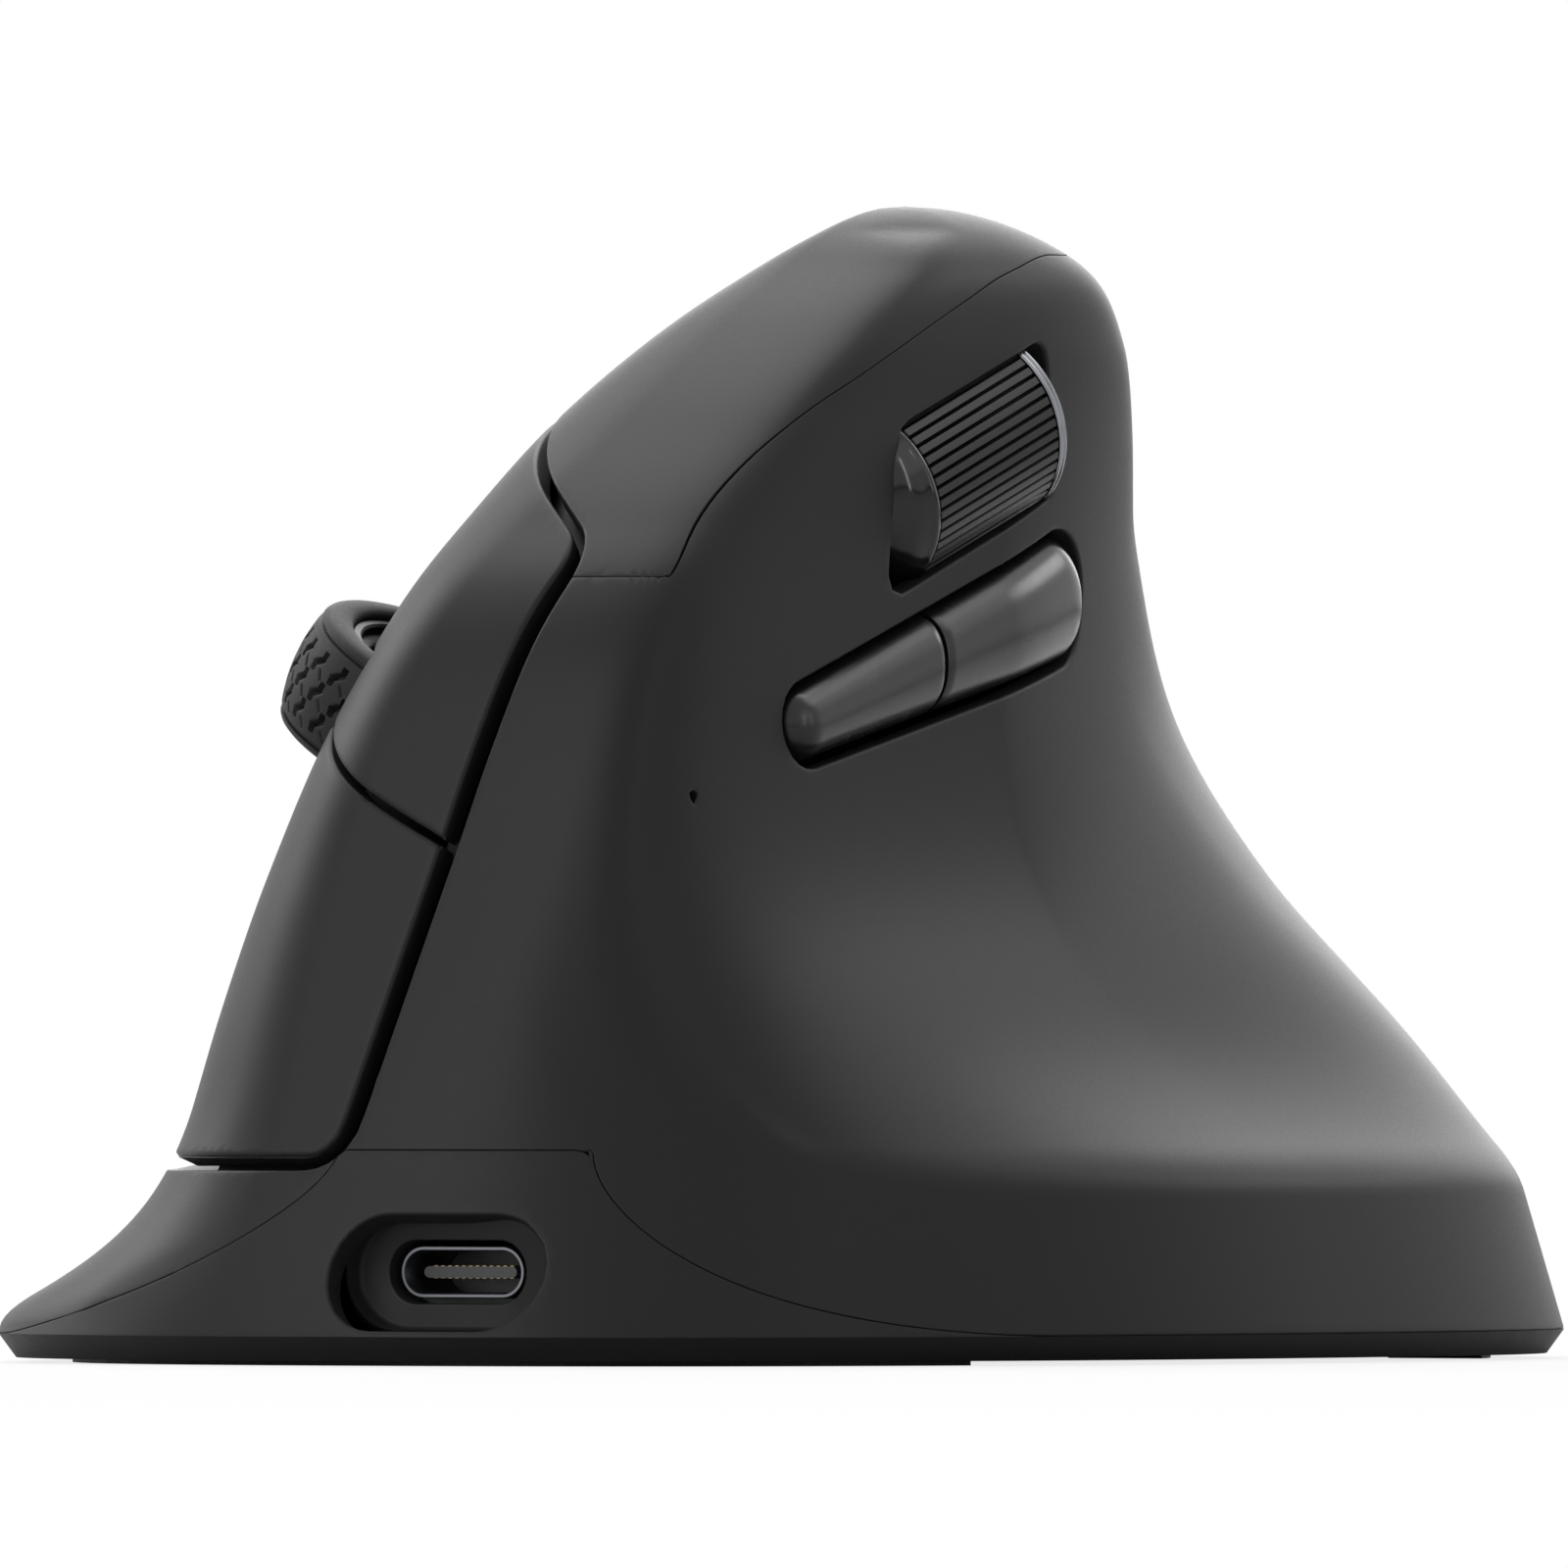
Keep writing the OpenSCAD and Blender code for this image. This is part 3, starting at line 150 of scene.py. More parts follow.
def quarter(d, cx, cy, ex, ey, corner, power):
    """Point of a level's quarter: a corner of that size and roundness, drawn out to ex, ey."""
    c, s = np.cos(np.radians(d)), np.sin(np.radians(d))
    hx, hy = np.abs(ex - cx), np.abs(ey - cy)
    a, b = np.minimum(corner, hx), np.minimum(corner, hy)
    soft = 0.35 ** 2
    out = lambda t: t * np.sqrt((1 + soft) / (t * t + soft))
    return np.stack((cx + np.sign(c) * a * np.abs(c) ** (2 / power) + (hx - a) * out(c),
                     cy + np.sign(s) * b * np.abs(s) ** (2 / power) + (hy - b) * out(s)), -1)


def upper(d, z):
    q = dome(z)
    thumb, back = np.cos(np.radians(d)) >= 0, np.sin(np.radians(d)) >= 0
    corner = np.where(thumb & ~back, front_thumb_corner(q), FULL_CORNER)
    power = np.where(thumb, np.where(back, back_thumb_power(q), FRONT_THUMB_POWER),
                     np.where(back, BACK_FINGER_POWER, front_finger_power(q)))
    return quarter(d, middle_x(q), middle_y(q), np.where(thumb, thumb_line(q), finger_line(q)),
                   np.where(back, back_line(q), front_line(q)), corner, power)


def lower(d, z, e):
    k = RIM_LEAN * (z - RIM)
    c, s = np.cos(np.radians(d)), np.sin(np.radians(d))
    rim = quarter(d, 0 * z, 0 * z, np.where(c >= 0, 1, -1) * (WIDTH / 2 - k),
                  np.where(s >= 0, LENGTH / 2 - k, front_line(dome(z))), FULL_CORNER, RIM_POWER)
    share = (front_share(d) * (z - RIM) / (e - RIM))[:, None]
    return rim + (upper(d, z) - rim) * share


def level(d, z):
    """Outside at an angle in degrees and a height."""
    e = crease_line(d)
    t = np.clip((z - e) / flare_height(d), 0, 1)
    up = upper(d, z)
    flared = up + (lower(d, e, e) - upper(d, e)) * ((1 - t) ** flare_power(d))[:, None]
    xy = np.where((z <= e)[:, None], lower(d, np.minimum(z, e), e), flared)
    return np.column_stack((xy, z))


RIM_SHARE, CREASE_SHARE = 0.13, 0.17
# Reach of the rounding under and over the crease: mm, and at most this share of its height over the rim.
CREASE_LOW, CREASE_HIGH = (1.3, 0.6), (1.6, 0.9)


def skin(d, v):
    """Outside at an angle and a share of the way from the rim to the crown, with the crease rounded over."""
    d = (np.asarray(d, float) + 180) % 360 - 180
    e = crease_line(d)
    low = e - np.minimum(CREASE_LOW[0], CREASE_LOW[1] * (e - RIM))
    high = e + np.minimum(CREASE_HIGH[0], CREASE_HIGH[1] * (e - RIM))
    w = np.clip((v - CREASE_SHARE) / (1 - CREASE_SHARE), 0, 1)
    rise = 0.75 * w * w * (3 - 2 * w) + 0.25 * w
    z = np.where(v < RIM_SHARE, RIM + (low - RIM) * v / RIM_SHARE, high + (HEIGHT - high) * rise)
    p = level(d, z)
    turn = (v >= RIM_SHARE) & (v < CREASE_SHARE)
    s = ((v[turn] - RIM_SHARE) / (CREASE_SHARE - RIM_SHARE))[:, None]
    d, low, e, high = d[turn], low[turn], e[turn], high[turn]
    p[turn] = (1 - s) ** 2 * level(d, low) + 2 * s * (1 - s) * level(d, e) + s * s * level(d, high)
    return p


STEP_D, STEP_V = 0.05, 0.0004


def around(d, v):
    """Places just beside, below and above a place on the skin."""
    return (skin(d - STEP_D, v), skin(d + STEP_D, v), skin(d, np.maximum(v - STEP_V, 0)),
            skin(d, np.minimum(v + STEP_V, 1)))


def slopes(left, right, below, above, v):
    """Rates of change by angle and by share of height."""
    rise = np.minimum(v + STEP_V, 1) - np.maximum(v - STEP_V, 0)
    return (right - left) / (2 * STEP_D), ((above - below).T / rise).T


def outward(u, w):
    n = np.cross(u, w)
    size = np.linalg.norm(n, axis=1)
    n[size < 1e-7] = (0, 0, 1)
    size[size < 1e-7] = 1
    return n / size[:, None]


def along_skin(seam, d, v):
    """Distance to a seam measured along the skin, from the seam's own distance in space."""
    near = around(d, v)
    u, w = slopes(*near, v)
    fu, fw = slopes(*map(seam, near), v)
    a, b, c = (u * u).sum(1), (u * w).sum(1), (w * w).sum(1)
    det = np.maximum(a * c - b * b, 1e-9)
    slope = np.sqrt(np.maximum((c * fu * fu - 2 * b * fu * fw + a * fw * fw) / det, 0.0))
    return seam(skin(d, v)) / np.clip(slope, 0.35, 3)


# Outlines in the solids' frames


def outline(points):
    """Distance to a closed outline in two axes, negative inside."""
    a = np.array(points, float)
    b = np.roll(a, -1, 0)

    def distance(x, y):
        best = np.full(x.shape, 1e18)
        inside = np.zeros(x.shape, bool)
        for (ax, ay), (bx, by) in zip(a, b):
            ex, ey = bx - ax, by - ay
            t = np.clip(((x - ax) * ex + (y - ay) * ey) / max(ex * ex + ey * ey, 1e-12), 0, 1)
            best = np.minimum(best, (x - ax - t * ex) ** 2 + (y - ay - t * ey) ** 2)
            crosses = (ay > y) != (by > y)
            side = ax + (y - ay) * ex / (ey if ey else 1e-12)
            inside ^= crosses & (x < side)
        return np.where(inside, -1, 1) * np.sqrt(best)

    return distance


def round_corners(points, radius, steps=8):
    """Outline with each corner turned to an arc."""
    out = []
    n = len(points)
    for i in range(n):
        a, b, c = (Vector(points[(i + k) % n]) for k in (-1, 0, 1))
        p, q = (a - b).normalized(), (c - b).normalized()
        half = p.angle(q) / 2
        cut = min(radius / math.tan(half), 0.45 * (a - b).length, 0.45 * (c - b).length)
        r = cut * math.tan(half)
        mid = b + (p + q).normalized() * (r / math.sin(half))
        start, end = b + p * cut - mid, b + q * cut - mid
        total = start.angle_signed(end)
        for k in range(steps + 1):
            out.append(tuple(mid + Matrix.Rotation(-total * k / steps, 2) @ start))
    return out


def sweep(reach, drop, power):
    return [(reach * math.cos(math.radians(a)) ** (2 / power), drop * math.sin(math.radians(a)) ** (2 / power))
            for a in np.linspace(0, 90, 31)]


# FAR closes an outline well outside the part; AWAY is the distance given where a seam has no say.
FAR, AWAY = 200, 30
SEAM, PLATE_GAP = 0.05, 0.04
APRON_TOP, APRON_LEFT, APRON_RIGHT = 13.2, 0.4, 16.5
APRON_REACH_LEFT, APRON_REACH_RIGHT, APRON_POWER, APRON_BACK = 30, 21, 1.6, -15
BUTTON_GAP, LOW_GAP, TOP_GAP, SPLIT_GAP, HINGE_Y = 1.2, 0.8, 0.5, 0.5, 16
STRIP_TOP, STRIP_LEFT, STRIP_BACK = 48.3, 0.5, -25
SKIRT_RIGHT, SKIRT_BACK, SKIRT_TOP = 2, 30, 15.4

apron_shape = outline(
    [(APRON_LEFT - APRON_REACH_LEFT + x, APRON_TOP - z)
     for x, z in sweep(APRON_REACH_LEFT, APRON_TOP - RIM, APRON_POWER)]
    + [(-FAR, RIM - 30), (FAR, RIM - 30)]
    + [(APRON_RIGHT + APRON_REACH_RIGHT - x, APRON_TOP - z)
       for x, z in reversed(sweep(APRON_REACH_RIGHT, APRON_TOP - RIM, APRON_POWER))])


def button_outlines(drop, lift):
    """Outlines of the main buttons from the front and from the side, let down and raised by that much."""
    low, ridge = 13.2 - drop, 63.5 + lift
    face = round_corners([(-0.1, low), (7.5 + 0.209 * lift, 49.6 + lift), (-3, 56.4 + lift), (-14, ridge),
                          (-FAR, ridge), (-FAR, low)], 2.5)
    side = round_corners([(-FAR, low), (-36, low), (HINGE_Y + 12, 16 - drop), (HINGE_Y + 8, 66), (-FAR, 66)], 3)
    return outline(face), outline(side)


button_face, button_side = button_outlines(BUTTON_GAP - LOW_GAP, BUTTON_GAP - TOP_GAP)
room_face, room_side = button_outlines(0, 0)
split_line = Curve([[-60, 48.7], [-18, 45.3], [-11.8, 41.9], [-6.8, 37.9], [-3, 35.5], [-0.2, 34],
                    [2.5, 32.7], [6, 31.2], [60, 22.6]], False)
ridge_line = Curve([[-40, 45.4], [-37, 48.3], [-34.2, 50.9], [-30.9, 53.6], [-26.5, 56.6], [-22.5, 58.8],
                    [-17.8, 60.8], [-12, 63.1], [-5.8, 65.3], [0.2, 67.1], [8.1, 68.3],
                    [13.8, 68.3]], False)
back_seam = Curve([[13.8, 12], [22, 8], [40, 4], [64, 2]], False)
thumb_ridge = outline([(-FAR, STRIP_TOP)] + [(y, float(ridge_line(y))) for y in np.linspace(-37, 13.8, 60)]
                      + [(13.8, FAR), (FAR, FAR), (FAR, -FAR), (-FAR, -FAR)])
thumb_plan = outline([(12, -FAR)] + [(float(back_seam(y)), y) for y in np.linspace(13.8, 64, 30)]
                     + [(2, FAR), (FAR, FAR), (FAR, -FAR)])


def apron_out(p):
    return np.where(p[:, 1] < APRON_BACK, apron_shape(p[:, 0], p[:, 2]), AWAY)


def button_room(p):
    """Distance outside the room of the main buttons."""
    return np.maximum(room_face(p[:, 0], p[:, 2]), room_side(p[:, 1], p[:, 2])) - BUTTON_GAP


def thumb_out(p):
    strip = np.maximum(np.maximum(p[:, 2] - STRIP_TOP, STRIP_LEFT - p[:, 0]), p[:, 1] - STRIP_BACK)
    return np.minimum(np.maximum(thumb_plan(p[:, 0], p[:, 1]), thumb_ridge(p[:, 1], p[:, 2])), strip)


def skirt_out(p):
    return np.maximum(np.maximum(p[:, 0] - SKIRT_RIGHT, p[:, 1] - SKIRT_BACK), p[:, 2] - SKIRT_TOP)


def over_plate(p):
    return p[:, 2] - RIM - PLATE_GAP


def box_of(node):
    low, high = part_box(node)
    return np.array(low) / MM, np.array(high) / MM


joint = {j["name"]: j for j in frame["joints"]}
wheel_at = np.array(joint["wheel_spin"]["pos_m"]) / MM
wheel_axis = np.array(joint["wheel_spin"]["axis"])
wheel_in = np.array(joint["wheel_click"]["axis"])
roller_at = np.array(joint["roller_spin"]["pos_m"]) / MM
roller_axis = np.array(joint["roller_spin"]["axis"])
roller_up = np.cross((1, 0, 0), roller_axis)
WHEEL_R, WHEEL_WIDTH = 10, 7.4
ROLLER_R, ROLLER_LENGTH, ROLLER_PROUD, CAP_LENGTH, RING_LENGTH = 6.5, 18.8, 1.6, 3.2, 0.8
SIDE_TILT, SIDE_DROP, SIDE_SPLIT = math.radians(14), 10.6, -7.3
SIDE_FRONT, SIDE_BACK = (-22.6, 2.3), (9.6, 3.9)
LED_Y, LED_Z, LED_RADIUS = -36.1, -11.85, 0.45
THUMB_SIDE, PORT_SIDE = 8, -30
# Room for the wheel in the panels: at the skin, and at the inner edges, which come nearer when pressed.
WHEEL_ROUND_GAP, WHEEL_SIDE_GAP, INNER_ROUND_GAP, INNER_SIDE_GAP = 0.7, 0.8, 0.9, 0.6
PORT_X, PORT_Z, PORT_WIDTH, PORT_HEIGHT = 8.3, 5.75, 14, 7.1
SLOT_GAP = 0.4
key_axis = np.array((0, math.cos(SIDE_TILT), math.sin(SIDE_TILT)))
key_up = np.cross((1, 0, 0), key_axis)


def wheel_room(p):
    q = p - wheel_at
    along = q @ wheel_axis
    round_out = np.linalg.norm(q - along[:, None] * wheel_axis, axis=1)
    beside = np.abs(along) - WHEEL_WIDTH / 2 - WHEEL_SIDE_GAP
    return np.maximum(round_out - WHEEL_R - WHEEL_ROUND_GAP, beside)


def clear_wheel(p):
    """Places moved out of the wheel's room, for the panels' inner edges."""
    q = p - wheel_at
    along = (q @ wheel_axis)[:, None] * wheel_axis
    size = np.linalg.norm(q - along, axis=1)[:, None]
    reach = WHEEL_R + INNER_ROUND_GAP
    beside = np.linalg.norm(along, axis=1)[:, None] < WHEEL_WIDTH / 2 + INNER_SIDE_GAP
    return np.where((size < reach) & beside, wheel_at + along + (q - along) / size * reach, p)


def thumb_frame(p, axis, up):
    """Places along and across a line on the thumb side, from the middle of the roller."""
    q = p - np.array((0, roller_at[1], roller_at[2]))
    return q @ axis, q @ up


half_open = math.sqrt(ROLLER_R ** 2 - (ROLLER_R - ROLLER_PROUD) ** 2) + SLOT_GAP + 0.2
half_long = ROLLER_LENGTH / 2 + SLOT_GAP
roller_slot = outline(round_corners([(-half_long + 3.4, half_open), (half_long + 1.6, half_open),
                                     (half_long + 0.2, -half_open), (-half_long - 1.9, -half_open)], 1.2))


def roller_room(p):
    y, z = thumb_frame(p, roller_axis, roller_up)
    return np.where(p[:, 0] > THUMB_SIDE, roller_slot(y, z), AWAY)


def pill_distance(y, z):
    """Distance to the outline of the thumb buttons, a capsule that widens to the back."""
    (y1, r1), (y2, r2) = SIDE_FRONT, SIDE_BACK
    q, x = y - y1, np.abs(z + SIDE_DROP)
    run = y2 - y1
    b = (r2 - r1) / run
    a = math.sqrt(1 - b * b)
    k = a * q - b * x
    return np.where(k < 0, np.hypot(q, x) - r1,
                    np.where(k > a * run, np.hypot(q - run, x) - r2, a * x - b * q - r1))


def side_room(p):
    y, z = thumb_frame(p, key_axis, key_up)
    return np.where(p[:, 0] > THUMB_SIDE, pill_distance(y, z) - SLOT_GAP, AWAY)


def pinhole(p):
    y, z = thumb_frame(p, key_axis, key_up)
    return np.where(p[:, 0] > THUMB_SIDE, np.hypot(y - LED_Y, z - LED_Z) - LED_RADIUS, AWAY)


def thumb_wall(y):
    """The skin's x on the thumb side, along the line of the thumb buttons."""
    d, x = np.linspace(-86, 86, 173), []
    run = np.linspace(y.min(), y.max(), 40)
    for along in run:
        at = np.array((0, roller_at[1], roller_at[2])) + along * key_axis - SIDE_DROP * key_up
        p = level(d, np.full(d.shape, at[2]))
        x.append(np.interp(at[1], p[:, 1], p[:, 0]))
    return np.interp(y, run, x)


def front_skin(x, z):
    """The skin's y on the front, at places of one ring round the port."""
    d, y = np.linspace(-176, -4, 345), []
    for a, b in zip(x, z):
        p = level(d, np.full(d.shape, b))
        y.append(np.interp(a, p[:, 0], p[:, 1]))
    return np.array(y)


def port_room(p):
    x, z = np.abs(p[:, 0] - PORT_X), p[:, 2] - PORT_Z
    r = PORT_HEIGHT / 2
    return np.where(p[:, 1] < PORT_SIDE, np.hypot(np.maximum(x - PORT_WIDTH / 2 + r, 0), z) - r, AWAY)


# Mesh making


def finish_mesh(bm, name, body, replaces=(), sharp=38, material=None):
    """Makes bm a piece of that body, smooth but for edges over an angle."""
    mesh = bpy.data.meshes.new(name)
    bm.to_mesh(mesh)
    bm.free()
    mesh.polygons.foreach_set("use_smooth", [True] * len(mesh.polygons))
    mesh.set_sharp_from_angle(angle=math.radians(sharp))
    piece = bpy.data.objects.new(name, mesh)
    bpy.context.scene.collection.objects.link(piece)
    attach(piece, body)
    if replaces:
        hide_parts(*replaces)
    if material:
        mesh.materials.append(material)


def verts_in(result):
    return [v for v in result["geom"] if isinstance(v, bmesh.types.BMVert)]


def ring(bm, places):
    """Adds a closed ring of edges to bm, through places in millimetres."""
    verts = [bm.verts.new(Vector(p) * MM) for p in places]
    return [bm.edges.new((a, b)) for a, b in zip(verts, verts[1:] + verts[:1])]


def bridged(bm, rings):
    for a, b in zip(rings, rings[1:]):
        bmesh.ops.bridge_loops(bm, edges=a + b)


# Cells of a sheet: degrees round the part, and number up its height. Seams with a roll between the hairline
# values get cells of half that size beside them, so that two pieces meet along one smooth line.
CELL_TURN, CELLS_UP = 0.72, 128
HAIRLINE_LOW, HAIRLINE_HIGH, HAIRLINE_REACH = 0.03, 0.08, 0.5


def moulded_sheet(bm, seams, across, along, wall, inset=0, clear=None):
    """Adds a piece of the housing to bm: the skin between angles and shares of height, kept where every seam's
    distance is positive, its edges rolled over at each seam's radius, with its wall behind it, set in from the
    skin. The function clear moves the inner side away from what it would touch."""
    sheet = bmesh.new()
    wide, high = across[1] - across[0], along[1] - along[0]
    middle = ((across[1] + across[0]) / 2, (along[1] + along[0]) / 2, 0)
    bmesh.ops.create_grid(sheet, x_segments=round(wide / CELL_TURN), y_segments=round(high * CELLS_UP), size=1)
    bmesh.ops.scale(sheet, vec=(wide / 2, high / 2, 1), verts=sheet.verts)
    bmesh.ops.translate(sheet, vec=middle, verts=sheet.verts)
    marks = []
    for i, (seam, roll) in enumerate(seams):
        mark = sheet.verts.layers.float.new(f"seam_{i}")
        marks.append((mark, roll))
        for finer in (True, False) if HAIRLINE_LOW < roll < HAIRLINE_HIGH else (False,):
            co = np.array([v.co for v in sheet.verts])
            for v, away in zip(sheet.verts, along_skin(seam, co[:, 0], co[:, 1])):
                v[mark] = v.co.z = min(away, 9)
            if finer:
                near = [e for e in sheet.edges if all(abs(v.co.z) < HAIRLINE_REACH for v in e.verts)]
                bmesh.ops.subdivide_edges(sheet, edges=near, cuts=1, use_grid_fill=True)
        for share in (0, 0.04, 0.16, 0.36, 0.64, 1):
            bmesh.ops.bisect_plane(sheet, geom=[*sheet.verts, *sheet.edges, *sheet.faces], dist=1e-6,
                                   plane_co=(0, 0, share * roll), plane_no=(0, 0, 1), clear_inner=share == 0)
    co = np.array([v.co for v in sheet.verts])
    p = skin(co[:, 0], co[:, 1])
    n = outward(*slopes(*around(co[:, 0], co[:, 1]), co[:, 1]))
    near = np.array([[max(0, 1 - v[m] / roll) for m, roll in marks] for v in sheet.verts]) ** 2
    rolls = np.array([roll for _, roll in marks])
    total = near.sum(1)
    radius = (near * rolls).sum(1) / np.maximum(total, 1e-9)
    sunk = radius * (1 - np.sqrt(1 - np.minimum(total, 1)))
    outer, inner = p - n * (inset + sunk[:, None]), p - n * (inset + wall)
    if clear:
        inner = clear(inner)
    back = sheet.verts.layers.float_vector.new("back")
    for v, o, i in zip(sheet.verts, outer * MM, inner * MM):
        v.co = o
        v[back] = i
    bmesh.ops.remove_doubles(sheet, verts=sheet.verts, dist=3e-6)
    for v in verts_in(bmesh.ops.extrude_face_region(sheet, geom=sheet.faces[:])):
        v.co = v[back]
    bmesh.ops.recalc_face_normals(sheet, faces=sheet.faces)
    part = bpy.data.meshes.new("sheet")
    sheet.to_mesh(part)
    sheet.free()
    bm.from_mesh(part)
    bpy.data.meshes.remove(part)


def turned(bm, rings, at, axis, side, steps=96):
    """Adds a closed turned shape to bm: rings of (radius, place along the axis) spun about the axis."""
    verts = [bm.verts.new(Vector(at + r * side + t * axis) * MM) for r, t in rings]
    edges = [bm.edges.new((a, b)) for a, b in zip(verts, verts[1:] + verts[:1])]
    bmesh.ops.spin(bm, geom=verts + edges, cent=Vector(at) * MM, axis=Vector(axis), angle=math.tau,
                   steps=steps, use_merge=True, use_duplicate=False)
    bmesh.ops.remove_doubles(bm, verts=bm.verts, dist=1e-7)
    bmesh.ops.recalc_face_normals(bm, faces=bm.faces)


def extruded(bm, points, place, depth):
    """Adds a prism to bm: a flat outline put in place by a function, drawn out by a vector."""
    face = bm.faces.new([bm.verts.new(Vector(place(x, y)) * MM) for x, y in points])
    top = verts_in(bmesh.ops.extrude_face_region(bm, geom=[face]))
    bmesh.ops.translate(bm, vec=Vector(depth) * MM, verts=top)
    bmesh.ops.recalc_face_normals(bm, faces=bm.faces)


def oval(width, height, steps=20):
    r = height / 2
    run = width / 2 - r
    points = []
    for end, first, last in ((run, -0.5 * math.pi, 0.5 * math.pi), (-run, 0.5 * math.pi, 1.5 * math.pi)):
        points += [(end + r * math.cos(a), r * math.sin(a)) for a in np.linspace(first, last, steps)]
    return points


# Materials


def linear(code):
    c = [int(code[i:i + 2], 16) / 255 for i in (1, 3, 5)]
    return tuple(v / 12.92 if v <= 0.04045 else ((v + 0.055) / 1.055) ** 2.4 for v in c) + (1,)


def feed(tree, node, values):
    """Gives a node its own fields, and its sockets a value or another node's output."""
    for key, value in values.items():
        if isinstance(value, bpy.types.NodeSocket):
            tree.links.new(value, node.inputs[key])
        elif hasattr(node, key):
            setattr(node, key, value)
        else:
            node.inputs[key].default_value = value


def add(tree, kind, **values):
    node = tree.nodes.new(kind)
    feed(tree, node, {key.replace("_", " "): value for key, value in values.items()})
    return node


def new_material(name):
    m = bpy.data.materials.get(name)
    if m:
        return m, None, None
    m = bpy.data.materials.new(name)
    m.use_nodes = True
    tree = m.node_tree
    return m, tree, tree.nodes["Principled BSDF"]


# Width in millimetres of the faint clouds in a moulded tone, and of the uneven polish of metal.
CLOUD, POLISH = 18, 0.4
PLASTIC_IOR = 1.53


def moulded_plastic(name, code, rough, grain, depth, gloss=0.5, mottle=0.06):
    """ABS from a spark-eroded mould: a fine even grain that breaks up the gloss, with faint cloudy tone."""
    m, tree, shader = new_material(name)
    if not tree:
        return m
    place = add(tree, "ShaderNodeTexCoord").outputs["Object"]
    pits = add(tree, "ShaderNodeTexNoise", Vector=place, Scale=1 / (grain * MM), Detail=3, Roughness=0.6)
    cloud = add(tree, "ShaderNodeTexNoise", Vector=place, Scale=1 / (CLOUD * MM), Detail=2)
    r, g, b, _ = code
    tone = add(tree, "ShaderNodeValToRGB", Fac=cloud.outputs["Fac"])
    for stop, k in zip(tone.color_ramp.elements, (1 - mottle, 1 + mottle)):
        stop.color = (r * k, g * k, b * k, 1)
    speck = add(tree, "ShaderNodeMapRange", Value=pits.outputs["Fac"], From_Min=0.3, From_Max=0.7,
                To_Min=rough * 0.92, To_Max=rough * 1.08)
    relief = add(tree, "ShaderNodeBump", Height=pits.outputs["Fac"], Strength=0.35, Distance=depth * MM)
    feed(tree, shader, {"Base Color": tone.outputs["Color"], "Roughness": speck.outputs["Result"],
                        "Normal": relief.outputs["Normal"], "IOR": PLASTIC_IOR, "Specular IOR Level": gloss})
    return m


def plain_metal(name, code, rough):
    """Drawn or stamped metal: a slightly uneven polish that breaks up its reflections."""
    m, tree, shader = new_material(name)
    if not tree:
        return m
    place = add(tree, "ShaderNodeTexCoord").outputs["Object"]
    marks = add(tree, "ShaderNodeTexNoise", Vector=place, Scale=1 / (POLISH * MM), Detail=2)
    speck = add(tree, "ShaderNodeMapRange", Value=marks.outputs["Fac"], To_Min=rough - 0.06, To_Max=rough + 0.06)
    feed(tree, shader, {"Roughness": speck.outputs["Result"], "Base Color": linear(code), "Metallic": 1})
    return m


def hue(name, description, code):
    return bpy.props.FloatVectorProperty(name=name, description=description, subtype="COLOR", size=4, min=0, max=1,
                                         default=linear(code))


def length(name, description, mm, low, high):
    return bpy.props.FloatProperty(name=name, description=description, unit="LENGTH", subtype="DISTANCE",
                                   precision=5, default=mm * MM, min=low * MM, max=high * MM)


class MouseColours(bpy.types.PropertyGroup):
    housing: hue("Housing", "Colour of the covers and main buttons", "#202021")
    # The base colour is darker than the housing's: painted shade, so that the plate reads as a shadow line under
    # the covers.
    base: hue("Base", "Colour of the bottom plate", "#19191a")
    keys: hue("Thumb buttons", "Colour of the thumb buttons", "#141415")
    tyre: hue("Tyre", "Colour of the wheel's rubber", "#1c1c1c")
    hub: hue("Hub", "Colour of the wheel's hub", "#1e1e1f")
    roller: hue("Roller", "Colour of the thumb roller", "#131314")
    cap: hue("Roller cap", "Colour of the roller's polished front cap", "#0b0b0c")


class MouseSizes(bpy.types.PropertyGroup):
    wall: length("Wall", "Wall of the covers", 1.6, 0.5, 2.2)
    seam_roll: length("Seam edge", "Radius of the edges along hairline seams", 0.05, 0.02, 1)
    gap_roll: length("Gap edge", "Radius of the edges along open gaps", 0.25, 0.02, 1)
    button_roll: length("Button edge", "Radius of the main buttons' edges", 0.3, 0.02, 1)
    treads: bpy.props.IntProperty(name="Treads", description="Zigzag slots round each row of the tyre", default=27,
                                  min=6, max=40)
    ribs: bpy.props.IntProperty(name="Ribs", description="Ribs round the thumb roller", default=56, min=8, max=80)


def sizes():
    return bpy.context.scene.mouse_sizes


def colours():
    return bpy.context.scene.mouse_colours


# Grain-moulded ABS: lamps spread to soft grey sheens and the black never looks wet. The grain is drawn
# coarser than it is, at 0.16 mm, so that a render can hold it.
def housing_plastic():
    return moulded_plastic("Black ABS, fine moulded grain", colours().housing, 0.46, 0.16, 0.012, 0.12)


# The same ABS, a little rougher, and darker as painted shade, so that the plate reads as a shadow line under the
# covers.
def base_plastic_painted_shade():
    return moulded_plastic("Black ABS, base plate, painted shade", colours().base, 0.5, 0.2, 0.012, 0.12)


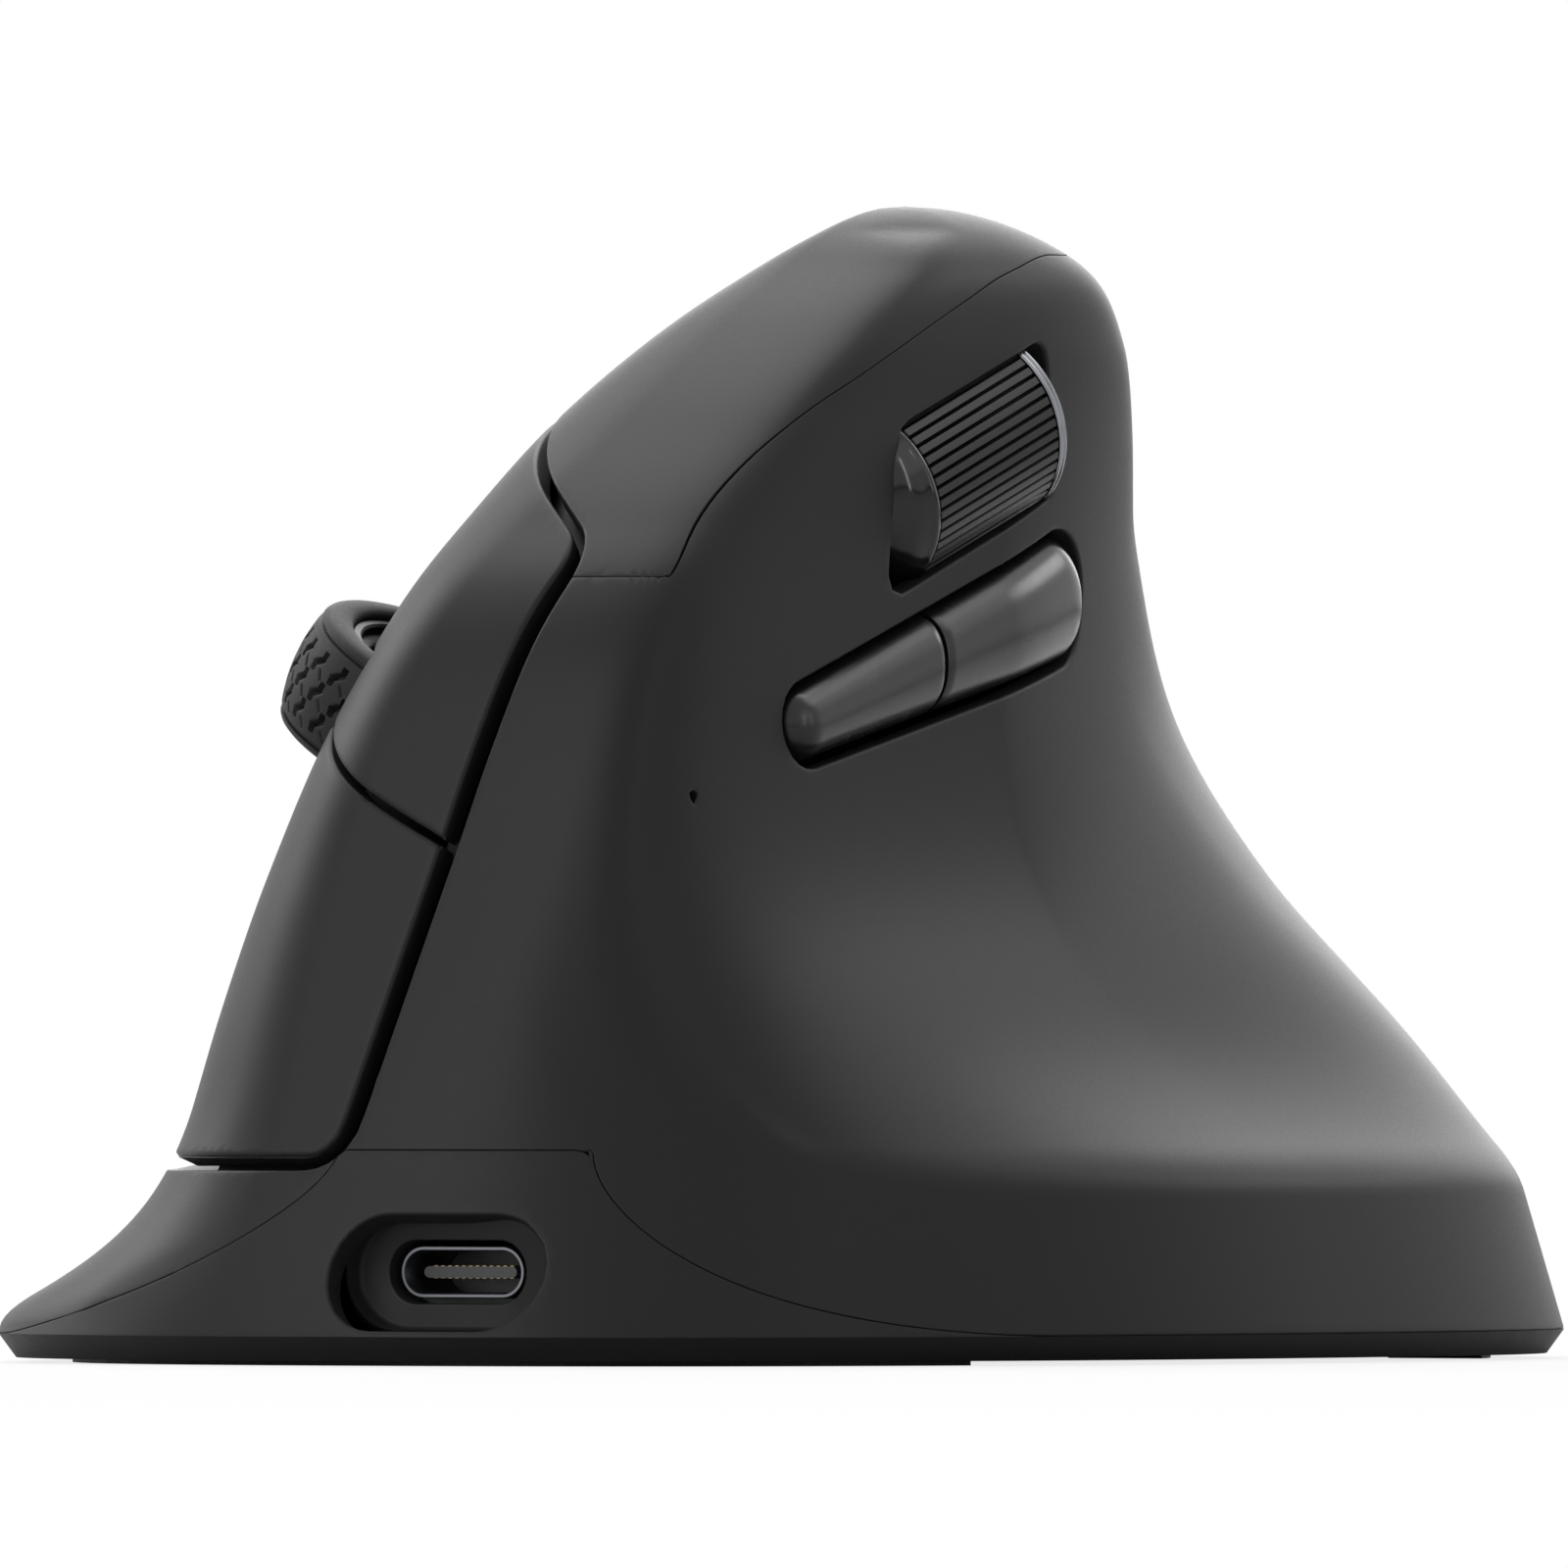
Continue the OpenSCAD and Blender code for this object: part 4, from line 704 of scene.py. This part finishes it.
class MOUSE_OT_covers(bpy.types.Operator):
    """Finger skirt, thumb cover and top cover of the housing"""

    bl_idname = "mouse.covers"
    bl_label = "Covers"

    def execute(self, context):
        s = sizes()
        wall, seam, gap = s.wall / MM, s.seam_roll / MM, s.gap_roll / MM
        plate = (over_plate, 0.12)
        apron = (lambda p: apron_out(p) - SEAM, seam)
        room = (button_room, gap)
        thumb_side = (lambda p: thumb_out(p) - SEAM, seam)
        covers = (("finger_skirt_cover", "shell_dark", "finger_skirt", (95, 292), (0, 0.42),
                   [plate, apron, room, thumb_side, (lambda p: -skirt_out(p), seam)]),
                  ("thumb_side_cover", "shell_dark", "thumb_cover", (-112, 100), (0, 1),
                   [plate, apron, room, (lambda p: -thumb_out(p), seam), (roller_room, gap), (side_room, gap),
                    (pinhole, 0.1)]),
                  ("crown_cover", "shell_top", "top_cover", (-180, 180), (0, 1),
                   [plate, apron, thumb_side, (lambda p: skirt_out(p) - SEAM, seam), room]))
        for name, slot, node, across, along, seams in covers:
            bm = bmesh.new()
            moulded_sheet(bm, seams, across, along, wall)
            finish_mesh(bm, name, "shell", [node], material=housing_plastic())
        # The lip behind the gap round the main buttons, on a foot that joins it to the covers.
        bm = bmesh.new()
        for low, high, inset, thick in ((0.6, 2.6, 1.5, 2.1), (-2.6, 2.6, 2.8, 0.8)):
            moulded_sheet(bm, [(lambda p: button_room(p) - low, 0.1), (lambda p: high - button_room(p), 0.1)],
                          (85, 300), (0.05, 1), thick, inset)
        finish_mesh(bm, "button_opening_lip", "shell", material=housing_plastic())
        return {"FINISHED"}


class MOUSE_OT_main_buttons(bpy.types.Operator):
    """The two main buttons of the finger side"""

    bl_idname = "mouse.main_buttons"
    bl_label = "Main buttons"

    def execute(self, context):
        s = sizes()
        wall, roll = s.wall / MM, s.button_roll / MM
        face = (lambda p: -button_face(p[:, 0], p[:, 2]), roll)
        side = (lambda p: -button_side(p[:, 1], p[:, 2]), roll)
        wheel = (wheel_room, s.gap_roll / MM)
        over = (lambda p: p[:, 2] - split_line(p[:, 0]) - SPLIT_GAP / 2, roll)
        under = (lambda p: split_line(p[:, 0]) - p[:, 2] - SPLIT_GAP / 2, roll)
        for name, body, split, node in (("left_click_panel", "left_button", over, "left_click_button"),
                                        ("right_click_panel", "right_button", under, "right_click_button")):
            bm = bmesh.new()
            moulded_sheet(bm, [face, side, split, wheel], (92, 292), (0.1, 1), wall, clear=clear_wheel)
            finish_mesh(bm, name, body, [node], material=housing_plastic())
        return {"FINISHED"}


class MOUSE_OT_base(bpy.types.Operator):
    """Bottom plate, apron round the port, and the port's recess"""

    bl_idname = "mouse.base"
    bl_label = "Base"

    def execute(self, context):
        s = sizes()
        bm = bmesh.new()
        moulded_sheet(bm, [(lambda p: p[:, 2] - RIM, 0.01), (lambda p: -apron_out(p), s.seam_roll / MM),
                           (port_room, 0.2)], (-176, -4), (0, 0.6), s.wall / MM)
        floor = box_of("usb_shell")[0][1] - 0.6
        rim = oval(PORT_WIDTH + 0.04, PORT_HEIGHT + 0.04)
        hole = oval(9.84, 3.9)
        cup = oval(PORT_WIDTH + 2, PORT_HEIGHT + 1.6)
        # The recess round the socket: in along its wall, over its floor, out behind it
        rings = [(rim, -1.6), (rim, -0.35), ([(0.985 * x, 0.97 * z) for x, z in rim], -0.1),
                 ([(0.955 * x, 0.91 * z) for x, z in rim], 0), ([(1.04 * x, 1.1 * z) for x, z in hole], 0),
                 ([(1.01 * x, 1.02 * z) for x, z in hole], 0.06), (hole, 0.2), (hole, 2.2),
                 (cup, 2.2), (cup, 0.6), (oval(PORT_WIDTH + 1.2, PORT_HEIGHT + 1), -1.0)]
        loops = []
        for points, deep in rings:
            x, z = PORT_X + np.array(points)[:, 0], PORT_Z + np.array(points)[:, 1]
            # No ring comes through the apron in front of it
            y = np.maximum(floor + deep, front_skin(x, z) + 0.3)
            loops.append(ring(bm, zip(x, y, z)))
        bridged(bm, loops + loops[:1])
        # The plate under the rim keeps the solid's own shape
        plate = bmesh.new()
        plate.from_mesh(NODES["bottom_case"].data)
        bmesh.ops.remove_doubles(plate, verts=plate.verts, dist=1e-6)
        cut = bmesh.ops.bisect_plane(plate, geom=[*plate.verts, *plate.edges, *plate.faces], dist=1e-7,
                                     plane_co=(0, 0, (RIM - 0.002) * MM), plane_no=(0, 0, 1),
                                     clear_outer=True)
        bmesh.ops.holes_fill(plate, edges=[e for e in cut["geom_cut"] if isinstance(e, bmesh.types.BMEdge)])
        bmesh.ops.recalc_face_normals(plate, faces=plate.faces)
        finish_mesh(bm, "apron_and_port", "shell", material=housing_plastic(), sharp=45)
        finish_mesh(plate, "bottom_plate", "shell", ["bottom_case"], material=base_plastic_painted_shade(),
                    sharp=25)
        return {"FINISHED"}


def tread_depth(turn, across, treads):
    """Depth of the tyre's grooves in mm: three staggered rows of zigzag slots with a short cut beside each, and a
    groove at each shoulder."""
    pitch = math.tau * WHEEL_R / treads
    shoulder, shoulder_deep, slot_deep, cut_deep, row_gap = 3.0, 0.3, 0.55, 0.22, 1.6
    deep = shoulder_deep * np.clip(0.5 - (np.abs(np.abs(across) - shoulder) - 0.13) / 0.1, 0, 1)
    for row, shift in ((-row_gap, 0), (0, 0.5), (row_gap, 0)):
        a = across - row
        s = ((turn / math.tau * treads + shift + 0.5) % 1 - 0.5) * pitch
        step = np.clip(a / 0.25, -1, 1)
        narrow = np.where(np.abs(a) < 0.25, 0.6, 1)
        slot = np.maximum(np.abs(s - 0.33 * step) * narrow - 0.18, np.abs(a) - 0.66)
        u, w = s - 0.8, a + 0.62
        cut = np.maximum(np.abs(u - w) * 0.707 - 0.36, np.abs(u + w) * 0.707 - 0.06)
        deep = np.maximum(deep, slot_deep * np.clip(0.5 - slot / 0.16, 0, 1))
        deep = np.maximum(deep, cut_deep * np.clip(0.5 - cut / 0.1, 0, 1))
    return deep


class MOUSE_OT_scroll_wheel(bpy.types.Operator):
    """Rubber tyre with its tread, and the hub inside it"""

    bl_idname = "mouse.scroll_wheel"
    bl_label = "Scroll wheel"

    def execute(self, context):
        side, other = wheel_in, np.cross(wheel_axis, wheel_in)
        # The section of the tyre: over the tread, down the side wall, back inside
        side_wall = [(9.42, 3.34), (9.3, 3.5), (9.1, 3.62), (8.8, 3.69), (8.3, WHEEL_WIDTH / 2), (7.8, 3.66),
                     (7.55, 3.5), (7.4, 3.3)]
        section = [(WHEEL_R - 0.05 - 0.42 * (t / 3.0) ** 2, t) for t in np.linspace(-3.25, 3.25, 82)]
        section += side_wall + [(r, -t) for r, t in reversed(side_wall)]
        bm = bmesh.new()
        bmesh.ops.create_grid(bm, x_segments=640, y_segments=len(section), size=1)
        co = np.array([v.co for v in bm.verts])
        turn = (co[:, 0] + 1) * math.pi
        row = np.round((co[:, 1] + 1) / 2 * len(section)).astype(int) % len(section)
        ring = np.array(section)[row]
        tread = (np.abs(ring[:, 1]) < 3.3) & (ring[:, 0] > 9.3)
        radius = ring[:, 0] - np.where(tread, tread_depth(turn, ring[:, 1], sizes().treads), 0)
        place = (wheel_at + radius[:, None] * (np.cos(turn)[:, None] * side + np.sin(turn)[:, None] * other)
                 + ring[:, 1:] * wheel_axis) * MM
        for v, p in zip(bm.verts, place):
            v.co = p
        bmesh.ops.remove_doubles(bm, verts=bm.verts, dist=1e-6)
        bmesh.ops.recalc_face_normals(bm, faces=bm.faces)
        # Rubber: dull and broad in its light, so that the tread shows by its grooves
        rubber = moulded_plastic("Black moulded rubber", colours().tyre, 0.6, 0.25, 0.02, 0.15)
        finish_mesh(bm, "wheel_tyre", "wheel", ["scroll_tyre"], material=rubber, sharp=50)
        bm = bmesh.new()
        turned(bm, [(7.4, -3.0), (7.3, -3.15), (6.9, -3.15), (6.75, -3.0), (6.7, -2.5), (6.1, -2.4), (5.95, -2.2),
                    (5.9, 2.2), (6.1, 2.4), (6.7, 2.5), (6.75, 3.0), (6.9, 3.15), (7.3, 3.15), (7.4, 3.0)],
               wheel_at, wheel_axis, side, 120)
        turned(bm, [(1.3, -3.4), (2.5, -3.4), (2.7, -3.2), (2.8, -2.0), (2.8, 2.0), (2.7, 3.2), (2.5, 3.4),
                    (1.3, 3.4)], wheel_at, wheel_axis, side, 64)
        spokes = 5
        for i in range(spokes):
            a = math.tau * i / spokes
            along = math.cos(a) * side + math.sin(a) * other
            across = math.cos(a) * other - math.sin(a) * side
            extruded(bm, [(2.6, -0.55), (6.1, -0.8), (6.1, 0.8), (2.6, 0.55)],
                     lambda x, y: wheel_at + along * x + across * y - wheel_axis * 2.1, wheel_axis * 4.2)
        # Nylon: a waxy dark that lets the spokes stand off from the tyre
        hub = moulded_plastic("Black nylon, wheel hub", colours().hub, 0.42, 0.3, 0.01, 0.2)
        finish_mesh(bm, "wheel_hub", "wheel", ["scroll_hub"], material=hub)
        return {"FINISHED"}


class MOUSE_OT_thumb_roller(bpy.types.Operator):
    """Ribbed barrel, glossy front cap and bright back ring of the thumb roller"""

    bl_idname = "mouse.thumb_roller"
    bl_label = "Thumb roller"

    def execute(self, context):
        ribs, rib_steps, rib_depth, bore = sizes().ribs, 16, 0.4, 1.1
        out = np.array((1.0, 0, 0))
        low, high = -ROLLER_LENGTH / 2, ROLLER_LENGTH / 2
        start, end = low + CAP_LENGTH, high - RING_LENGTH
        bm = bmesh.new()
        loops = []
        for along, less in ((start, 0.3), (start + 0.25, 0), (end - 0.25, 0), (end, 0.3)):
            places = []
            for i in range(ribs * rib_steps):
                groove = min(1, max(0, (abs(i % rib_steps / rib_steps - 0.5) - 0.33) / 0.14))
                r = ROLLER_R - 0.08 - less - rib_depth * groove * groove * (3 - 2 * groove)
                a = math.tau * i / (ribs * rib_steps)
                ray = math.cos(a) * out + math.sin(a) * roller_up
                places.append(roller_at + along * roller_axis + r * ray)
            loops.append(ring(bm, places))
        bridged(bm, loops)
        for loop in (loops[0], loops[-1]):
            bmesh.ops.edgeloop_fill(bm, edges=loop)
        bmesh.ops.recalc_face_normals(bm, faces=bm.faces)
        # Satin ABS: each rib takes one thin line of light
        matt = moulded_plastic("Black ABS, ribbed roller", colours().roller, 0.38, 0.2, 0.01, 0.2)
        finish_mesh(bm, "roller_ribs", "roller", ["roller_barrel"], material=matt, sharp=50)
        flare = Curve([[0, 4.3], [0.25, 5.07], [0.52, 5.84], [0.78, 6.28], [0.92, 6.5], [1, 6.5]], False)
        bm = bmesh.new()
        turned(bm, [(bore, low)] + [(float(flare(t)), low + t * CAP_LENGTH) for t in np.linspace(0, 0.97, 20)]
               + [(ROLLER_R - 0.12, start), (bore, start)], roller_at, roller_axis, out, 128)
        # Polished ABS: a mirror black that shows the lamps as clear shapes
        gloss = moulded_plastic("Black polished ABS", colours().cap, 0.12, 0.5, 0.002, 0.4)
        finish_mesh(bm, "roller_front_cap", "roller", ["roller_cap"], material=gloss, sharp=60)
        bm = bmesh.new()
        turned(bm, [(bore, end), (ROLLER_R - 0.12, end), (ROLLER_R, end + 0.1), (ROLLER_R, end + 0.22),
                    (ROLLER_R - 0.14, end + 0.32), (ROLLER_R - 0.14, end + 0.44), (ROLLER_R, end + 0.54),
                    (ROLLER_R, high - 0.14), (ROLLER_R - 0.14, high), (bore, high)],
               roller_at, roller_axis, out, 128)
        # Bright plating: one light line that ends the roller
        finish_mesh(bm, "roller_back_ring", "roller", ["roller_ring"],
                    material=plain_metal("Bright plated ring", "#8d8f93", 0.22))
        return {"FINISHED"}


class MOUSE_OT_thumb_buttons(bpy.types.Operator):
    """Forward and back buttons of the thumb side: two halves of a crowned pill"""

    bl_idname = "mouse.thumb_buttons"
    bl_label = "Thumb buttons"

    def execute(self, context):
        # Satin ABS: long soft streaks over the crown, clearly smoother than the cover round it
        satin = moulded_plastic("Black ABS, satin thumb buttons", colours().keys, 0.26, 1.5, 0.0006, 0.35)
        (y1, r1), (y2, r2) = SIDE_FRONT, SIDE_BACK
        slope = (r2 - r1) / (y2 - y1)
        first, last = y1 - r1 * slope, y2 - r2 * slope
        # The rim lies under the skin, the crown rises from it, and the edges at the split are turned over.
        sunk, rise, edge_roll = 1.4, 2.5, 0.16
        back_x = box_of("forward_button")[0][0] + 2.3
        for name, body, node, front in (("forward_key_cap", "forward_key", "forward_button", True),
                                        ("back_key_cap", "back_key", "back_button", False)):
            bm = bmesh.new()
            bmesh.ops.create_grid(bm, x_segments=80, y_segments=44, size=1)
            co = np.array([v.co for v in bm.verts])
            w = np.sin(co[:, 1] * math.pi / 2)
            a = (co[:, 0] + 1) * math.pi / 4
            t = 1 - np.cos(a) if front else np.sin(a)
            end = SIDE_SPLIT + (-0.5 if front else 0.5) * SLOT_GAP / math.cos(SIDE_TILT)
            tip = y1 - r1 if front else y2 + r2
            y = tip + (end - tip) * t if front else end + (tip - end) * t
            for _ in range(2):
                flank = (r1 + (y - y1) * slope) / math.sqrt(1 - slope * slope)
                half = np.where(y < first, np.sqrt(np.maximum(r1 ** 2 - (y - y1) ** 2, 0)),
                                np.where(y > last, np.sqrt(np.maximum(r2 ** 2 - (y - y2) ** 2, 0)), flank))
                z = w * half
                lean = z * math.tan(SIDE_TILT) * (t if front else 1 - t)
                y = (tip + (end - tip) * t if front else end + (tip - end) * t) + lean
            edge = np.where(y < first, np.hypot(y - y1, z) / r1,
                            np.where(y > last, np.hypot(y - y2, z) / r2, np.abs(w)))
            crown = np.sqrt(np.clip(1 - np.minimum(edge, 1) ** 2.3, 0, 1))
            to_split = np.abs(y - end - z * math.tan(SIDE_TILT))
            roll = edge_roll * (1 - np.sqrt(np.clip(1 - (1 - np.minimum(to_split / edge_roll, 1)) ** 2, 0, 1)))
            middle = np.array((0, roller_at[1], roller_at[2])) - SIDE_DROP * key_up
            place = middle + y[:, None] * key_axis + z[:, None] * key_up
            place[:, 0] = thumb_wall(y) - sunk + rise * crown - roll
            for v, p in zip(bm.verts, place * MM):
                v.co = p
            bmesh.ops.remove_doubles(bm, verts=bm.verts, dist=1e-5)
            rim = [e for e in bm.edges if e.is_boundary]
            for v in verts_in(bmesh.ops.extrude_edge_only(bm, edges=rim)):
                v.co.x = back_x * MM
            bmesh.ops.holes_fill(bm, edges=[e for e in bm.edges if e.is_boundary])
            bmesh.ops.recalc_face_normals(bm, faces=bm.faces)
            finish_mesh(bm, name, body, [node], material=satin, sharp=60)
        return {"FINISHED"}


class MOUSE_OT_socket(bpy.types.Operator):
    """Charging socket: drawn shell and the tongue with its contacts"""

    bl_idname = "mouse.socket"
    bl_label = "Charging socket"

    def execute(self, context):
        low = box_of("usb_shell")[0]
        bm = bmesh.new()
        # Width and height of the standard shell, and depth from its mouth
        rings = [(8.94, 3.2, 0.12), (8.8, 3.06, 0), (8.48, 2.74, 0), (8.34, 2.6, 0.12), (8.34, 2.6, 6.0),
                 (8.94, 3.2, 6.0)]
        loops = []
        for w, h, deep in rings:
            loops.append(ring(bm, [(PORT_X + x, low[1] + deep, PORT_Z + z) for x, z in oval(w, h)]))
        bridged(bm, loops + loops[:1])
        bmesh.ops.recalc_face_normals(bm, faces=bm.faces)
        # Nickel: the one clean grey metal at the front, bright on its turned edge
        finish_mesh(bm, "socket_shell", "shell", ["usb_shell"],
                    material=plain_metal("Nickel plated steel", "#6e7074", 0.34))
        bm = bmesh.new()
        extruded(bm, oval(6.7, 0.7, 6), lambda x, z: (PORT_X + x, low[1] + 0.9, PORT_Z + z), (0, 5, 0))
        extruded(bm, oval(8.3, 2.56), lambda x, z: (PORT_X + x, low[1] + 5.2, PORT_Z + z), (0, 0.8, 0))
        # Nylon: a dull dark bar inside the bright shell
        finish_mesh(bm, "socket_tongue", "shell", ["usb_tongue"],
                    material=moulded_plastic("Black nylon, socket tongue", linear("#2a2a2c"), 0.4, 0.2, 0.006))
        bm = bmesh.new()
        pitch, half = 0.5, 0.12
        for side in (-1, 1):
            for i in range(12):
                x, long = (i - 5.5) * pitch, 3.4 if i % 3 else 3.7
                extruded(bm, [(x - half, 0), (x + half, 0), (x + half, 1), (x - half, 1)],
                         lambda a, b: (PORT_X + a, low[1] + 1.3 + b * long, PORT_Z + side * 0.33),
                         (0, 0, side * 0.06))
        # Gold flash: warm short lines on the tongue
        finish_mesh(bm, "socket_contacts", "shell",
                    material=plain_metal("Plated contacts", "#b8a77a", 0.3))
        return {"FINISHED"}


class MOUSE_OT_inside(bpy.types.Operator):
    """Finishes of the pieces that keep their solids: inner parts, feet, controls and screws"""

    bl_idname = "mouse.inside"
    bl_label = "Inner pieces"

    def execute(self, context):
        finishes = (
            # Nylon: a flat dark that stays behind the covers
            (moulded_plastic("Black nylon, inner parts", linear("#161617"), 0.55, 0.3, 0.01),
             "inner_frame wheel_holder wheel_encoder middle_switch left_switch right_switch roller_bracket "
             "side_switches optical_sensor power_switch pair_switch"),
            # Solder mask: a deep green with a soft shine, plainly a board
            (moulded_plastic("Green solder mask", linear("#16271d"), 0.4, 0.3, 0.006),
             "finger_board side_board main_board"),
            # Zinc: cool pale metal for pins and screws
            (plain_metal("Zinc plated steel", "#8f9296", 0.35),
             "scroll_axle hinge_pin roller_axle case_screws board_screws"),
            # Polycarbonate, drawn as smoke grey with a sharp shine
            (moulded_plastic("Smoked clear polycarbonate", linear("#3a3d40"), 0.15, 0.5, 0.001),
             "light_pipe sensor_lens indicator_led"),
            # Glide film: a slick black patch on the rougher plate
            (moulded_plastic("Black glide film", linear("#0f0f10"), 0.42, 0.4, 0.004), "front_foot back_foot"),
            # Shrink film: a grey skin with a tight sheen
            (moulded_plastic("Grey shrink film", linear("#4a5157"), 0.35, 0.6, 0.006), "battery"),
            # Acetal: milky, the lightest plastic inside
            (moulded_plastic("Pale acetal", linear("#b5b4ae"), 0.4, 0.3, 0.006), "left_plunger right_plunger"),
            # Dark grey ABS: controls that can be told from the plate
            (moulded_plastic("Dark grey ABS, controls", linear("#3a3a3c"), 0.45, 0.2, 0.01),
             "power_slider pair_button"))
        for material, names in finishes:
            for name in names.split():
                mesh = NODES[name].data
                mesh.materials.clear()
                mesh.materials.append(material)
        return {"FINISHED"}


class MOUSE_OT_stage(bpy.types.Operator):
    """Floor, light and camera"""

    bl_idname = "mouse.stage"
    bl_label = "Stage"

    def execute(self, context):
        scene = context.scene
        bm = bmesh.new()
        bmesh.ops.create_grid(bm, x_segments=2, y_segments=2, size=6)
        mesh = bpy.data.meshes.new("floor")
        bm.to_mesh(mesh)
        bm.free()
        floor = bpy.data.objects.new("floor", mesh)
        scene.collection.objects.link(floor)
        floor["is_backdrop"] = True
        # Paper: an even white that fades into the background and keeps the part's soft contact shadow
        m, tree, shader = new_material("White paper floor")
        feed(tree, shader, {"Base Color": linear("#e6e6e6"), "Roughness": 0.9})
        white = (1, 1, 1, 1)
        glow = add(tree, "ShaderNodeEmission", Color=white, Strength=1)
        place = add(tree, "ShaderNodeTexCoord").outputs["Object"]
        reach = add(tree, "ShaderNodeVectorMath", operation="LENGTH", Vector=place)
        fade = add(tree, "ShaderNodeMapRange", Value=reach.outputs["Value"], From_Min=0.08, From_Max=0.4,
                   To_Min=0.8, To_Max=1)
        seen = add(tree, "ShaderNodeMath", operation="MULTIPLY")
        feed(tree, seen, {0: add(tree, "ShaderNodeLightPath").outputs["Is Camera Ray"], 1: fade.outputs["Result"]})
        mixed = add(tree, "ShaderNodeMixShader", Fac=seen.outputs[0])
        feed(tree, mixed, {1: shader.outputs[0], 2: glow.outputs[0]})
        feed(tree, tree.nodes["Material Output"], {"Surface": mixed.outputs[0]})
        mesh.materials.append(m)
        # The background is white to the eye and in reflections, and lights the part only a little
        world = bpy.data.worlds.new("studio")
        scene.world = world
        world.use_nodes = True
        tree = world.node_tree
        back = tree.nodes["Background"]
        feed(tree, back, {"Color": white, "Strength": 0.1})
        path = add(tree, "ShaderNodeLightPath")
        plain = add(tree, "ShaderNodeBackground", Color=white, Strength=1)
        seen = path.outputs["Is Camera Ray"]
        for other in ("Is Glossy Ray", "Is Transmission Ray"):
            either = add(tree, "ShaderNodeMath", operation="MAXIMUM")
            feed(tree, either, {0: seen, 1: path.outputs[other]})
            seen = either.outputs[0]
        mixed = add(tree, "ShaderNodeMixShader", Fac=seen)
        feed(tree, mixed, {1: back.outputs[0], 2: plain.outputs[0]})
        feed(tree, tree.nodes["World Output"], {"Surface": mixed.outputs[0]})
        # The photo is seen level from this side, with this many pixels to a millimetre.
        azimuth, photo_width, photo_scale, sensor, away = math.radians(32), 1600, 16.5, 36, 4.2
        look = Vector((0, 0, 0.0356))
        ahead = Vector((math.sin(azimuth), -math.cos(azimuth), 0))
        right = Vector((math.cos(azimuth), math.sin(azimuth), 0))
        # Name, place to the right, ahead and up from the part, width and height in metres, and watts
        lamps = (
            ("top softbox", -0.05, -0.5, 0.8, 0.9, 0.9, 6.0),
            ("right softbox", 0.5, -0.2, 0.75, 0.5, 0.5, 0.9),
            ("left front softbox", -0.6, 0.5, 0.4, 0.5, 0.5, 2.8),
            ("low front softbox", -0.54, 0.72, 0.07, 0.5, 0.5, 1.2),
            ("right front softbox", 0.55, 0.55, 0.46, 0.5, 0.5, 0.3),
            ("left rim softbox", -0.6, -0.52, 0.43, 0.5, 0.5, 2.6),
            ("right rim softbox", 0.62, -0.5, 0.42, 0.24, 0.24, 0.6),
            ("back softbox", 0.1, -0.88, 0.3, 0.6, 0.6, 3.0),
            ("front strip", 0.54, 0.72, 0.12, 0.05, 0.8, 0.8),
            ("side strip", 0.82, 0.37, 0.12, 0.05, 0.8, 0.5),
        )
        for name, side, front, up, wide, tall, power in lamps:
            light = bpy.data.lights.new(name, "AREA")
            light.shape = "ELLIPSE" if wide == tall else "RECTANGLE"
            light.size = wide
            light.size_y = tall
            light.energy = power
            lamp = bpy.data.objects.new(name, light)
            lamp.location = look + right * side + ahead * front + Vector((0, 0, up))
            lamp.rotation_euler = (look - lamp.location).to_track_quat("-Z", "Y").to_euler()
            scene.collection.objects.link(lamp)
        lens = bpy.data.cameras.new("camera")
        lens.sensor_width = sensor
        lens.lens = sensor * away / (photo_width / photo_scale * MM)
        lens.clip_end = 20
        camera = bpy.data.objects.new("camera", lens)
        camera.location = look + ahead * away
        camera.rotation_euler = (look - camera.location).to_track_quat("-Z", "Y").to_euler()
        scene.collection.objects.link(camera)
        scene.camera = camera
        scene.view_settings.view_transform = "Standard"
        return {"FINISHED"}


class MOUSE_PT_panel(bpy.types.Panel):
    """Steps that dress the mouse"""

    bl_label = "Vertical mouse"
    bl_idname = "MOUSE_PT_panel"
    bl_space_type = "VIEW_3D"
    bl_region_type = "UI"
    bl_category = "Mouse"

    def draw(self, context):
        for group in (context.scene.mouse_sizes, context.scene.mouse_colours):
            for key in group.__annotations__:
                self.layout.prop(group, key)
        for step in STEPS:
            self.layout.operator(step.bl_idname)


STEPS = (MOUSE_OT_covers, MOUSE_OT_main_buttons, MOUSE_OT_base, MOUSE_OT_scroll_wheel, MOUSE_OT_thumb_roller,
         MOUSE_OT_thumb_buttons, MOUSE_OT_socket, MOUSE_OT_inside, MOUSE_OT_stage)
CLASSES = (MouseColours, MouseSizes, *STEPS, MOUSE_PT_panel)


def register():
    for c in CLASSES:
        bpy.utils.register_class(c)
    bpy.types.Scene.mouse_colours = bpy.props.PointerProperty(type=MouseColours)
    bpy.types.Scene.mouse_sizes = bpy.props.PointerProperty(type=MouseSizes)


def unregister():
    del bpy.types.Scene.mouse_sizes
    del bpy.types.Scene.mouse_colours
    for c in reversed(CLASSES):
        bpy.utils.unregister_class(c)


def main():
    register()
    bpy.ops.mouse.covers()
    bpy.ops.mouse.main_buttons()
    bpy.ops.mouse.base()
    bpy.ops.mouse.scroll_wheel()
    bpy.ops.mouse.thumb_roller()
    bpy.ops.mouse.thumb_buttons()
    bpy.ops.mouse.socket()
    bpy.ops.mouse.inside()
    bpy.ops.mouse.stage()
    plain = lambda box: [[float(v) for v in corner] for corner in box]
    {"cad": plain(cad_box), "visual": plain(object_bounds())}


if __name__ == "__main__":
    main()
